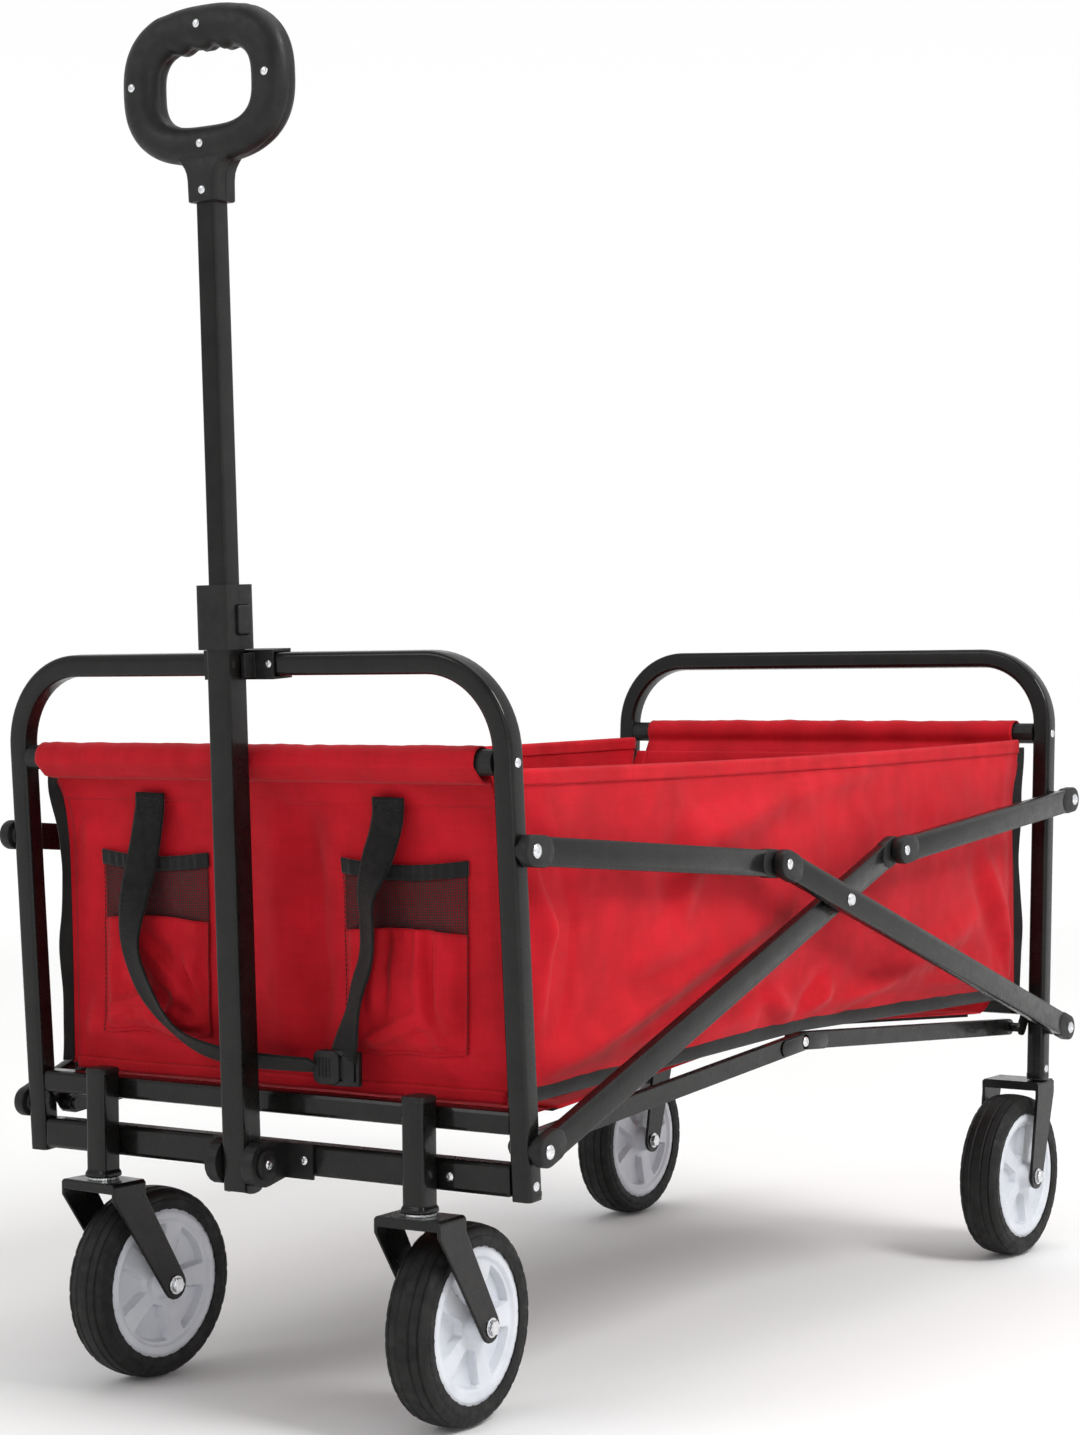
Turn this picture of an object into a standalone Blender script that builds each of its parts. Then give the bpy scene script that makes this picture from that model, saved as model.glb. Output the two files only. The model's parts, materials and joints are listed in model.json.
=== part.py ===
"""Folding utility wagon with a telescopic pull handle.

Metres, +Z up. The handle end is the front, at -Y, and +X is the wagon's own left-hand side.
The origin is on the ground, under the middle of the wagon's box. A moving piece has its
origin on its joint's axis.
"""
import math

import bmesh
import bpy
from mathutils import Matrix, Vector

# ---- driving dimensions -------------------------------------------------------------
MID_Y = 0.0106            # middle of the side linkage, behind the origin
GAP = 0.0003              # gap between pieces that touch
RUN = 0.0004              # side clearance of a piece that turns on a stud

POST_X = 0.2175           # centre of each frame post
TUBE = 0.016              # frame tube, square with rounded corners
TUBE_CORNER = 0.0028
TOP_Z = 0.525             # centre of each frame's top rail
BEND_R = 0.060            # centreline radius of the top bends
REF_Z = 0.180             # height at which the frames' spacing is measured
HALF_LENGTH = 0.4015      # frame plane to the middle, at REF_Z
LEAN = math.atan(0.06)    # both frames lean outwards
FRONT_FOOT_Z = 0.166
REAR_FOOT_Z = 0.1525

CROSS_BAR_Z = 0.179       # low bar between the front posts
CROSS_BAR_H = 0.022
FLOOR_BAR_Z = 0.2175      # bar at the floor's end, between the posts of each frame

LOWER_PIVOT_Z = 0.200
UPPER_PIVOT_Z = 0.400
CENTRE_PIVOT_Z = 0.340
KNEE_REACH = 0.1001       # scissor bar beyond its centre pivot
BAR_H = 0.020
BAR_T = 0.008
INNER_LAYER_X = 0.229     # inboard face of the inner layer of side bars
OUTER_LAYER_X = 0.239
STUD_R = 0.0025
STUD_COLLAR_R = 0.006
STUD_HEAD_R = 0.005
STUD_HEAD_T = 0.0018
STUD_HEAD_EDGE_R = 0.0042
BORE_R = 0.0029

RAIL_PIVOT_Y = 0.388      # floor rail pivots, from the middle
RAIL_PIVOT_Z = 0.199
RAIL_MEET_Z = 0.228
RAIL_R = 0.007
RAIL_T = 0.007
FRONT_RAIL_X = 0.1985
REAR_RAIL_X = 0.1905
LUG_X = 0.2067            # inboard face of the lugs under the floor bars
LUG_T = 0.0025
LUG_R = 0.0068
RAIL_PIN_R = 0.004
PANEL_SPAN = (0.065, 0.360)     # floor panel's ends, along its rails from their pivots
PANEL_RISE = (0.0098, 0.0138)   # its two faces, above the rails' centreline

ROD_Z = 0.458             # rods that carry the bag's sleeves
ROD_R = 0.009
SLEEVE_R = 0.0112
SLEEVE_IN_R = 0.0097
BAG_WALL_Y = 0.388        # end walls of the bag, from the middle
BAG_WALL_T = 0.003
BAG_BOTTOM_Z = 0.229
BAG_SIDE_X = 0.199
BAG_SIDE_T = 0.004
BAG_SIDE_TOP_Z = 0.452
BAG_FRONT_HALF_W = 0.195
BAG_REAR_HALF_W = 0.188
FLOOR_HALF_W = 0.187

WHEEL_R = 0.070
TYRE_HALF_W = 0.017
RIM_R = 0.0540
AXLE_R = 0.0040
AXLE_BORE_R = 0.0043
BOLT_HEAD_R = 0.0065
BOLT_HEAD_T = 0.0038
WHEEL_SIDES = 28
PIN_SIDES = 12
FORK_HALF_W = 0.027
FORK_WALL = 0.0027
FORK_TOP_Z = 0.152
FORK_HEAD_H = 0.0075
FORK_BELOW_AXLE = 0.013
FORK_FOOT_R = 0.011
FORK_EDGE = 0.002
FORK_SHOULDER = 0.004     # straight part of the fork's sides below its head
FORK_HALF_DEPTH = 0.0165
SPIGOT_R = 0.0046         # fork's pin in the caster tube
SPIGOT_H = 0.013
SOCKET_R = 0.005
WASHER_R = 0.0115
WASHER_BORE_R = 0.0052
WASHER_SPACE = 0.002      # between fork and caster tube
CASTER_X = 0.1427
CASTER_Y = -0.4195        # caster swivel axes, from the middle
CASTER_TRAIL = 0.046
CASTER_TURN = {"left": 2.5, "right": -3.35}
CASTER_TUBE_W = 0.019
CASTER_TUBE_TOP_Z = 0.232
CASTER_FLANGE_H = 0.003
REAR_FORK_X = 0.1985
REAR_TRAIL = -0.019

HANDLE_Y = -0.4338        # handle pivot, from the middle
HANDLE_Z = 0.178
HANDLE_ORIGIN = (0, HANDLE_Y, HANDLE_Z)
HANDLE_LEAN = math.radians(1.84)
OUTER_W = 0.0205
OUTER_IN_W = 0.0173
INNER_W = 0.0165
INNER_IN_W = 0.0137
TAIL_R = 0.0213           # rounded lower end of the outer tube, about the pivot
PIVOT_BORE_R = 0.0043
PIVOT_BOLT_R = 0.0039
PIVOT_HEAD_R = 0.0062
EAR_X = (0.0112, 0.0212)
EAR_R = 0.0160
PLATE_HALF_W = 0.045
PLATE_T = 0.0021
CLIP_HALF_W = 0.031
CLIP_HALF_IN = 0.0084     # half the clip's inside, about the top rail
CLIP_WALL = 0.0019
CLIP_SLOT = 0.0060        # half the height of the clip's opening, on its rear
FINGER_X = (0.0118, 0.0150)
FINGER_TIP = -0.0215
FINGER_HALF_H = 0.0085
OUTER_END = 0.394         # distances along the handle, from its pivot
COLLAR_START = 0.3573
COLLAR_END = 0.402
COLLAR_W = 0.030
BUTTON_HALF_W = 0.0062
BUTTON_HALF_H = 0.0102
BUTTON_X = (0.0142, 0.0172, 0.0180)
BUTTON_POCKET_X = (0.0090, 0.0200)
BUTTON_DROP = 0.002       # button's middle, below the collar's
INNER_START = 0.247
NECK_START = 0.6644
NECK_TUBE_DEPTH = 0.020
GRIP_CENTRE = 0.7454
GRIP_HALF = (0.0725, 0.055)
GRIP_HOLE_HALF = (0.042, 0.0265)
GRIP_HOLE_DROP = 0.002
GRIP_HALF_DEPTH = 0.0125
GRIP_POWER = 2.5          # exponents of the grip's rounded outlines
GRIP_HOLE_POWER = 3.2
GRIP_STATIONS = 48
WAVE_PITCH = 0.019        # finger waves along the top of the hand hole
WAVE_DEPTH = 0.0012
WAVE_SPAN = 0.0285
NECK_W = 0.025
NECK_STRAIGHT = 0.018
NECK_FILLET = 0.012
NECK_TOP_HALF_W = 0.020

STRAP_W = 0.025
STRAP_T = 0.0016
STRAP_PLANE_Y = -0.403    # the straps hang in front of the front wall and its pockets
STRAP_BEND_Z = 0.412      # above this height the straps follow the wall out to its sleeve
STRAP_TOP_SLOPE = 0.33
LEFT_ROUTE = ((0.109, 0.433), (0.102, 0.415), (0.096, 0.396), (0.091, 0.362), (0.090, 0.330),
              (0.082, 0.298), (0.073, 0.266))
RIGHT_ROUTE = ((-0.106, 0.433), (-0.113, 0.403), (-0.1195, 0.375), (-0.124, 0.333),
               (-0.117, 0.304), (-0.104, 0.282), (-0.085, 0.262), (-0.066, 0.251),
               (-0.043, 0.248), (-0.020, 0.2465), (0.000, 0.246), (0.042, 0.246))
BUCKLE_PLACE = (0.064, 0.2455)
BUCKLE_SIZE = (0.038, 0.025)

SLICE = 0.6               # half length of a cutter that passes right through the wagon
CUTTER = 0.06             # half length of a cutter that passes through one piece


# ---- scene and materials ------------------------------------------------------------
def clear_scene():
    for obj in list(bpy.data.objects):
        bpy.data.objects.remove(obj, do_unlink=True)


def material(name, color, roughness, metallic=0.0):
    mat = bpy.data.materials.new(name)
    mat.use_nodes = True
    shader = mat.node_tree.nodes["Principled BSDF"]
    shader.inputs["Base Color"].default_value = (*color, 1.0)
    shader.inputs["Roughness"].default_value = roughness
    shader.inputs["Metallic"].default_value = metallic
    mat.diffuse_color = (*color, 1.0)
    return mat


def make_materials():
    return {
        "steel": material("black_powder_coat", (0.012, 0.012, 0.013), 0.35, 0.2),
        "plastic": material("black_plastic", (0.016, 0.016, 0.017), 0.5),
        "zinc": material("zinc", (0.62, 0.63, 0.65), 0.3, 1.0),
        "fabric": material("red_fabric", (0.50, 0.008, 0.018), 0.9),
        "board": material("floor_board", (0.03, 0.03, 0.032), 0.8),
        "webbing": material("black_webbing", (0.012, 0.012, 0.012), 0.9),
        "rubber": material("tyre_rubber", (0.014, 0.014, 0.014), 0.75),
        "hub": material("white_hub", (0.78, 0.80, 0.84), 0.45),
    }


# ---- outlines -----------------------------------------------------------------------
def arc(centre, radius, start, end, steps):
    """Points on an arc, angles in degrees, both ends included."""
    points = []
    for i in range(steps + 1):
        angle = math.radians(start + (end - start) * i / steps)
        points.append((centre[0] + radius * math.cos(angle), centre[1] + radius * math.sin(angle)))
    return points


def rounded_rectangle(width, height, corner, steps=2):
    half_w, half_h = width / 2 - corner, height / 2 - corner
    points = []
    for i, (sx, sy) in enumerate(((1, 1), (-1, 1), (-1, -1), (1, -1))):
        points += arc((sx * half_w, sy * half_h), corner, 90 * i, 90 * i + 90, steps)
    return points


def slot_outline(start, end, radius, steps=6):
    """A straight bar with round ends."""
    turn = math.degrees(math.atan2(end[1] - start[1], end[0] - start[0]))
    return (arc(start, radius, turn + 90, turn + 270, steps)
            + arc(end, radius, turn - 90, turn + 90, steps))


def shifted(points, du, dv):
    return [(u + du, v + dv) for u, v in points]


# ---- solids -------------------------------------------------------------------------
def at(axis, along, u, v):
    """A point from its place along an axis and its two other coordinates, in X, Y, Z order."""
    return {"x": (along, u, v), "y": (u, along, v), "z": (u, v, along)}[axis]


def finished(bm):
    bmesh.ops.recalc_face_normals(bm, faces=bm.faces)
    return bm


def ring_faces(bm, low, high):
    count = len(low)
    for i in range(count):
        bm.faces.new((low[i], low[(i + 1) % count], high[(i + 1) % count], high[i]))


def lofted(axis, sections, closed=False):
    """Sections are (place along the axis, outline); a closed loft is a ring with no caps."""
    bm = bmesh.new()
    rings = [[bm.verts.new(at(axis, along, *p)) for p in outline] for along, outline in sections]
    for low, high in zip(rings, rings[1:]):
        ring_faces(bm, low, high)
    if closed:
        ring_faces(bm, rings[-1], rings[0])
    else:
        bm.faces.new(rings[0])
        bm.faces.new(rings[-1])
    return finished(bm)


def prism(axis, low, high, outline):
    return lofted(axis, [(low, outline), (high, outline)])


def square_tube(low, high, width, inner_width, corner):
    """A straight tube along Z, open at both ends."""
    inner_corner = max(corner - (width - inner_width) / 2, 0.0008)
    outer = rounded_rectangle(width, width, corner)
    inner = rounded_rectangle(inner_width, inner_width, inner_corner)
    return lofted("z", [(low, outer), (high, outer), (high, inner), (low, inner)], closed=True)


def turned(axis, profile, sides, phase=0.0):
    """Revolves (along, radius) points about an axis. A profile that ends on the axis is solid."""
    bm = bmesh.new()
    rings = []
    for along, radius in profile:
        if radius < 1e-7:
            rings.append([bm.verts.new(at(axis, along, 0, 0))])
            continue
        angles = [math.tau * (i + phase) / sides for i in range(sides)]
        rings.append([bm.verts.new(at(axis, along, radius * math.cos(a), radius * math.sin(a)))
                      for a in angles])
    pairs = list(zip(rings, rings[1:]))
    if len(rings[0]) > 1:
        pairs.append((rings[-1], rings[0]))
    for low, high in pairs:
        for i in range(sides):
            face = [low[i % len(low)], low[(i + 1) % len(low)],
                    high[(i + 1) % len(high)], high[i % len(high)]]
            bm.faces.new(list(dict.fromkeys(face)))
    return finished(bm)


def rod(axis, low, high, radius, sides=PIN_SIDES):
    return turned(axis, [(low, 0), (low, radius), (high, radius), (high, 0)], sides)


def block(x, y, z):
    return prism("z", z[0], z[1], [(x[0], y[0]), (x[1], y[0]), (x[1], y[1]), (x[0], y[1])])


def swept(path, sideways, section):
    """Sweeps a section along a path in a plane; sideways is the plane's normal."""
    bm = bmesh.new()
    path = [Vector(p) for p in path]
    sideways = Vector(sideways)
    rings = []
    for i, point in enumerate(path):
        along = (path[min(i + 1, len(path) - 1)] - path[max(i - 1, 0)]).normalized()
        across = sideways.cross(along).normalized()
        rings.append([bm.verts.new(point + across * u + sideways * v) for u, v in section])
    for low, high in zip(rings, rings[1:]):
        ring_faces(bm, low, high)
    bm.faces.new(rings[0])
    bm.faces.new(rings[-1])
    return finished(bm)


# ---- objects ------------------------------------------------------------------------
def place(name, bm, mat, origin=(0, 0, 0), tilt=0.0, turn=0.0):
    """Makes an object from a mesh in its own coordinates. origin is from the linkage's middle."""
    mesh = bpy.data.meshes.new(name)
    bm.to_mesh(mesh)
    bm.free()
    mesh.materials.append(mat)
    mesh.shade_smooth()
    mesh.set_sharp_from_angle(angle=math.radians(32))
    obj = bpy.data.objects.new(name, mesh)
    obj.location = (origin[0], origin[1] + MID_Y, origin[2])
    obj.rotation_euler = (tilt, 0, turn)
    bpy.context.scene.collection.objects.link(obj)
    return obj


def combine(target, tool, operation="DIFFERENCE"):
    """Adds an exact Boolean and keeps its tool as a hidden wire guide."""
    tool.hide_render = True
    tool.display_type = "WIRE"
    modifier = target.modifiers.new(tool.name, "BOOLEAN")
    modifier.operation = operation
    modifier.solver = "EXACT"
    modifier.object = tool


def guide(name, bm, like, mat):
    """A Boolean tool in the same coordinates as another object."""
    tool = place(name, bm, mat)
    tool.location = like.location
    tool.rotation_euler = like.rotation_euler
    return tool


def mirrored(bm):
    bmesh.ops.transform(bm, matrix=Matrix.Scale(-1, 4, Vector((1, 0, 0))), verts=bm.verts)
    return finished(bm)


def frame_lean(end):
    """Tilt of a frame: the front one (end -1) leans to -Y, the rear one (end +1) to +Y."""
    return -end * LEAN


def frame_height(z):
    """A height above the ground as a distance up the leaning frame."""
    return (z - REF_Z) / math.cos(LEAN)


# ---- end frames ---------------------------------------------------------------------
def stud(layer_x):
    """A riveted stud: spacer collar, pin through one side bar, and a head outside it."""
    spacer = layer_x - RUN
    pin_end = layer_x + BAR_T + RUN
    head_end = pin_end + STUD_HEAD_T
    return turned("x", [(POST_X, 0), (POST_X, STUD_COLLAR_R), (spacer, STUD_COLLAR_R),
                        (spacer, STUD_R), (pin_end, STUD_R), (pin_end, STUD_HEAD_R),
                        (head_end, STUD_HEAD_EDGE_R), (head_end, 0)], PIN_SIDES)


def end_frame(name, end, foot_z, layer_x, mats):
    """The bent tube of one end, with its four side studs."""
    top = frame_height(TOP_Z)
    corner_x, corner_z = POST_X - BEND_R, top - BEND_R
    path = [(-POST_X, frame_height(foot_z))]
    path += arc((-corner_x, corner_z), BEND_R, 180, 90, 7)
    path += arc((corner_x, corner_z), BEND_R, 90, 0, 7)
    path += [(POST_X, frame_height(foot_z))]
    section = rounded_rectangle(TUBE, TUBE, TUBE_CORNER)
    bm = swept([(x, 0, z) for x, z in path], (0, 1, 0), section)
    origin = (0, end * HALF_LENGTH, REF_Z)
    tube = place(name, bm, mats["steel"], origin, frame_lean(end))
    for level, z in (("lower", LOWER_PIVOT_Z), ("upper", UPPER_PIVOT_Z)):
        for side in ("left", "right"):
            pin = stud(layer_x) if side == "left" else mirrored(stud(layer_x))
            bmesh.ops.translate(pin, vec=(0, 0, frame_height(z)), verts=pin.verts)
            tool = guide(f"tool_{name}_{level}_{side}_stud", pin, tube, mats["zinc"])
            combine(tube, tool, "UNION")


def floor_bar(name, end, rail_x, mats):
    """Bar across the floor's end, with a lug and a pin for each floor rail."""
    half = POST_X - TUBE / 2 - GAP
    origin = (0, end * HALF_LENGTH, FLOOR_BAR_Z)
    bar = place(name, prism("x", -half, half, rounded_rectangle(TUBE, TUBE, TUBE_CORNER)),
                mats["steel"], origin)
    pivot = (end * (RAIL_PIVOT_Y - HALF_LENGTH), RAIL_PIVOT_Z - FLOOR_BAR_Z)
    root_x, shoulder_x, head_x = LUG_X + 0.001, rail_x + RAIL_T + RUN, rail_x - RUN
    end_x = head_x - STUD_HEAD_T
    for side in ("left", "right"):
        lug = prism("x", LUG_X, LUG_X + LUG_T - GAP, slot_outline((0, 0), pivot, LUG_R))
        pin = turned("x", [(root_x, 0), (root_x, RAIL_PIN_R), (shoulder_x, RAIL_PIN_R),
                           (shoulder_x, STUD_R), (head_x, STUD_R), (head_x, STUD_HEAD_R),
                           (end_x, STUD_HEAD_EDGE_R), (end_x, 0)], PIN_SIDES)
        bmesh.ops.translate(pin, vec=(0, *pivot), verts=pin.verts)
        for kind, bm in (("lug", lug), ("pin", pin)):
            bm = bm if side == "left" else mirrored(bm)
            tool = guide(f"tool_{name}_{side}_{kind}", bm, bar, mats["zinc"])
            combine(bar, tool, "UNION")


def front_cross_bar(mats):
    half = POST_X - TUBE / 2 - GAP
    outline = rounded_rectangle(TUBE, CROSS_BAR_H, TUBE_CORNER)
    place("front_cross_bar", prism("x", -half, half, outline), mats["steel"],
          (0, -HALF_LENGTH, CROSS_BAR_Z))


def bag_rod(name, end, mats):
    """Rod inside the bag's sleeve, between the posts, leaning with its frame."""
    half = POST_X - TUBE / 2 - GAP
    bm = rod("x", -half, half, ROD_R, 16)
    bmesh.ops.translate(bm, vec=(0, 0, frame_height(ROD_Z)), verts=bm.verts)
    place(name, bm, mats["plastic"], (0, end * HALF_LENGTH, REF_Z), frame_lean(end))


# ---- bag and floor ------------------------------------------------------------------
def bag_end_wall(name, end, half_w, mats):
    """End wall of the bag: a sleeve round the rod, then a sheet that hangs inside the posts."""
    rod_y = HALF_LENGTH + math.tan(LEAN) * (ROD_Z - REF_Z)
    # the sleeve's section, from its inboard underside over the top and back inside
    sleeve = (arc((rod_y, ROD_Z), SLEEVE_R, -110, -410, 20)
              + arc((rod_y, ROD_Z), SLEEVE_IN_R, -410, -95, 20))
    hang = [(BAG_WALL_Y + 0.008, 0.428), (BAG_WALL_Y, 0.400), (BAG_WALL_Y - 0.002, BAG_BOTTOM_Z)]
    back = [(y - BAG_WALL_T, z) for y, z in hang]
    outline = [(end * y, z) for y, z in sleeve + hang + back[::-1]]
    place(name, prism("x", -half_w, half_w, outline), mats["fabric"])


def bag_side(side, mats):
    """Side wall of the bag, a plain sheet above the floor rails."""
    sign = 1 if side == "left" else -1
    ends = [(BAG_WALL_Y - 0.004, BAG_BOTTOM_Z - 0.0005), (BAG_WALL_Y - 0.0035, 0.395),
            (BAG_WALL_Y + 0.0125, BAG_SIDE_TOP_Z)]
    middle_bottom = (0, RAIL_MEET_Z + RAIL_R + 0.003)
    outline = [middle_bottom] + ends + [(-y, z) for y, z in ends[::-1]]
    faces = sorted((sign * BAG_SIDE_X, sign * (BAG_SIDE_X + BAG_SIDE_T)))
    place(f"bag_{side}_side", prism("x", *faces, outline), mats["fabric"])


def rail_direction(end):
    """Unit vector of a floor rail, from its pivot to the middle, in (Y, Z)."""
    along = Vector((-end * RAIL_PIVOT_Y, RAIL_MEET_Z - RAIL_PIVOT_Z))
    return along.normalized()


def floor_half(label, end, rail_x, bore, mats):
    """Two floor rails and the floor panel that rides on them. Origins are on the rail pivot."""
    origin = (0, end * RAIL_PIVOT_Y, RAIL_PIVOT_Z)
    along = rail_direction(end)
    up = Vector((-along.y, along.x)) * (1 if along.x > 0 else -1)
    length = math.hypot(RAIL_PIVOT_Y, RAIL_MEET_Z - RAIL_PIVOT_Z)
    outline = slot_outline((0, 0), along * length, RAIL_R)
    for side, sign in (("left", 1), ("right", -1)):
        faces = sorted((sign * rail_x, sign * (rail_x + RAIL_T)))
        rail = place(f"{label}_{side}_rail", prism("x", *faces, outline), mats["steel"], origin)
        combine(rail, bore)
    (start, stop), (under, over) = PANEL_SPAN, PANEL_RISE
    corners = ((start, under), (stop, under), (stop, over), (start, over))
    sheet = [tuple(along * far + up * rise) for far, rise in corners]
    place(f"{label}_floor_panel", prism("x", -FLOOR_HALF_W, FLOOR_HALF_W, sheet),
          mats["board"], origin)


# ---- side linkage -------------------------------------------------------------------
def bore_tool(name, y, z, mats):
    """A cutter right across the wagon, for every bar that turns about one axis."""
    return place(f"tool_{name}_bore", rod("x", -SLICE, SLICE, BORE_R), mats["zinc"], (0, y, z))


def frame_y(end, z):
    return end * (HALF_LENGTH + math.tan(LEAN) * (z - REF_Z))


def side_bar(name, sign, layer_x, origin, start, end, bores, mats):
    """A flat bar with round ends. Its origin is on the axis it turns about."""
    faces = sorted((sign * layer_x, sign * (layer_x + BAR_T)))
    local = [(p[0] - origin[0], p[1] - origin[1]) for p in (start, end)]
    bar = place(name, prism("x", *faces, slot_outline(*local, BAR_H / 2)), mats["steel"],
                (0, *origin))
    for bore in bores:
        combine(bar, bore)


def side_linkage(mats):
    """Scissor bars and links on both sides. Each scissor bar ends in a knee joint with a link."""
    centre = (0.0, CENTRE_PIVOT_Z)
    pivots = {}
    for label, end in (("front", -1), ("rear", 1)):
        pivots[label + "_lower"] = (frame_y(end, LOWER_PIVOT_Z), LOWER_PIVOT_Z)
        pivots[label + "_upper"] = (frame_y(end, UPPER_PIVOT_Z), UPPER_PIVOT_Z)
    bores = {key: bore_tool(key, y, z, mats) for key, (y, z) in pivots.items()}
    bores["centre"] = bore_tool("centre", *centre, mats)
    rise = CENTRE_PIVOT_Z - LOWER_PIVOT_Z
    run = abs(pivots["front_lower"][0])
    reach = KNEE_REACH / math.hypot(rise, run)
    knee_y, knee_z = run * reach, CENTRE_PIVOT_Z + rise * reach
    for side, sign in (("left", 1), ("right", -1)):
        # front-hinged scissor bar (inner layer) and rear-hinged scissor bar (outer layer)
        side_bar(f"front_{side}_scissor_bar", sign, INNER_LAYER_X, pivots["front_lower"],
                 pivots["front_lower"], (knee_y, knee_z),
                 (bores["front_lower"], bores["centre"]), mats)
        side_bar(f"rear_{side}_scissor_bar", sign, OUTER_LAYER_X, centre,
                 pivots["rear_lower"], (-knee_y, knee_z),
                 (bores["rear_lower"], bores["centre"]), mats)
        side_bar(f"front_{side}_link", sign, INNER_LAYER_X, pivots["front_upper"],
                 pivots["front_upper"], (-knee_y, knee_z), (bores["front_upper"],), mats)
        side_bar(f"rear_{side}_link", sign, OUTER_LAYER_X, pivots["rear_upper"],
                 pivots["rear_upper"], (knee_y, knee_z), (bores["rear_upper"],), mats)
        low, high = INNER_LAYER_X - RUN, OUTER_LAYER_X + BAR_T + RUN
        rivet = turned("x", [(low - STUD_HEAD_T, 0), (low - STUD_HEAD_T, STUD_HEAD_EDGE_R),
                             (low, STUD_HEAD_R), (low, STUD_R), (high, STUD_R),
                             (high, STUD_HEAD_R), (high + STUD_HEAD_T, STUD_HEAD_EDGE_R),
                             (high + STUD_HEAD_T, 0)], PIN_SIDES)
        place(f"{side}_centre_rivet", rivet if sign > 0 else mirrored(rivet), mats["zinc"],
              (0, *centre))


# ---- wheels, forks and casters ------------------------------------------------------
def fork(name, origin, trail, turn, mats, spigot):
    """Pressed fork: a head, two tapered legs and the axle's holes. Local Z is the height."""
    inner = FORK_HALF_W - FORK_WALL
    head_z, foot_z = FORK_TOP_Z - FORK_HEAD_H, WHEEL_R - FORK_BELOW_AXLE
    arch = [(-FORK_HALF_W, foot_z), (-inner, foot_z), (-inner, head_z), (inner, head_z),
            (inner, foot_z), (FORK_HALF_W, foot_z), (FORK_HALF_W, FORK_TOP_Z - FORK_EDGE),
            (FORK_HALF_W - FORK_EDGE, FORK_TOP_Z), (FORK_EDGE - FORK_HALF_W, FORK_TOP_Z),
            (-FORK_HALF_W, FORK_TOP_Z - FORK_EDGE)]
    body = place(name, prism("y", -CUTTER, CUTTER + abs(trail), arch), mats["steel"],
                 (origin[0], origin[1], 0), turn=turn)
    down = math.degrees(math.atan2(WHEEL_R - head_z, trail))
    shoulder_z = head_z - FORK_SHOULDER
    profile = ([(FORK_HALF_DEPTH, FORK_TOP_Z + CUTTER), (-FORK_HALF_DEPTH, FORK_TOP_Z + CUTTER),
                (-FORK_HALF_DEPTH, shoulder_z)]
               + arc((trail, WHEEL_R), FORK_FOOT_R, down - 90, down + 90, 8)
               + [(FORK_HALF_DEPTH, shoulder_z)])
    side_profile = guide(f"tool_{name}_profile", prism("x", -CUTTER, CUTTER, profile), body,
                         mats["zinc"])
    combine(body, side_profile, "INTERSECT")
    bore = rod("x", -CUTTER, CUTTER, AXLE_BORE_R)
    bmesh.ops.translate(bore, vec=(0, trail, WHEEL_R), verts=bore.verts)
    combine(body, guide(f"tool_{name}_bore", bore, body, mats["zinc"]))
    if spigot:
        pin = rod("z", FORK_TOP_Z - FORK_HEAD_H / 2, FORK_TOP_Z + SPIGOT_H, SPIGOT_R)
        combine(body, guide(f"tool_{name}_spigot", pin, body, mats["zinc"]), "UNION")


def both_ways(half):
    """A profile given for one side of the wheel, closed with its mirror image."""
    return half + [(-along, radius) for along, radius in half[::-1]]


def wheel(label, centre, turn, mats):
    """Tyre, hub and axle bolt about the local X axis."""
    tyre = both_ways([(TYRE_HALF_W - 0.0008, RIM_R + GAP), (TYRE_HALF_W, 0.0590),
                      (0.0160, 0.0665), (0.0120, 0.0693), (0.0050, WHEEL_R)])
    hub = both_ways([(0.0235, AXLE_BORE_R), (0.0235, 0.0090), (0.0140, 0.0115),
                     (0.0110, 0.0470), (0.0152, 0.0490), (0.0152, RIM_R)])
    head_in, head_out = FORK_HALF_W + GAP, FORK_HALF_W + BOLT_HEAD_T
    bolt = both_ways([(head_out, 0), (head_out, BOLT_HEAD_R - 0.001),
                      (head_out - 0.001, BOLT_HEAD_R), (head_in, BOLT_HEAD_R), (head_in, AXLE_R)])
    place(f"{label}_tyre", turned("x", tyre, WHEEL_SIDES), mats["rubber"], centre, turn=turn)
    place(f"{label}_wheel_hub", turned("x", hub, WHEEL_SIDES), mats["hub"], centre, turn=turn)
    place(f"{label}_axle_bolt", turned("x", bolt, PIN_SIDES), mats["zinc"], centre,
          turn=turn)


def front_caster(side, mats):
    """Upright caster tube in front of the cross bar, swivel washer, fork and wheel."""
    x = CASTER_X if side == "left" else -CASTER_X
    turn = math.radians(CASTER_TURN[side])
    low, wide = FORK_TOP_Z + WASHER_SPACE, CASTER_TUBE_W + CASTER_FLANGE_H
    body = rounded_rectangle(CASTER_TUBE_W, CASTER_TUBE_W, 0.004)
    flange = rounded_rectangle(wide, wide, 0.0055)
    sections = [(low, flange), (low + CASTER_FLANGE_H, flange), (low + 0.005, body),
                (CASTER_TUBE_TOP_Z, body)]
    tube = place(f"front_{side}_caster_tube", lofted("z", sections), mats["steel"],
                 (x, CASTER_Y, 0))
    socket = rod("z", low - CUTTER, low + SPIGOT_H, SOCKET_R)
    combine(tube, guide(f"tool_front_{side}_socket", socket, tube, mats["zinc"]))
    under, over = FORK_TOP_Z + GAP, low - GAP
    washer = [(under, WASHER_BORE_R), (under, WASHER_R), (over, WASHER_R), (over, WASHER_BORE_R)]
    place(f"front_{side}_swivel_washer", turned("z", washer, 20), mats["zinc"], (x, CASTER_Y, 0))
    fork(f"front_{side}_fork", (x, CASTER_Y), CASTER_TRAIL, turn, mats, spigot=True)
    centre = (x - CASTER_TRAIL * math.sin(turn), CASTER_Y + CASTER_TRAIL * math.cos(turn), WHEEL_R)
    wheel(f"front_{side}", centre, turn, mats)


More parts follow.
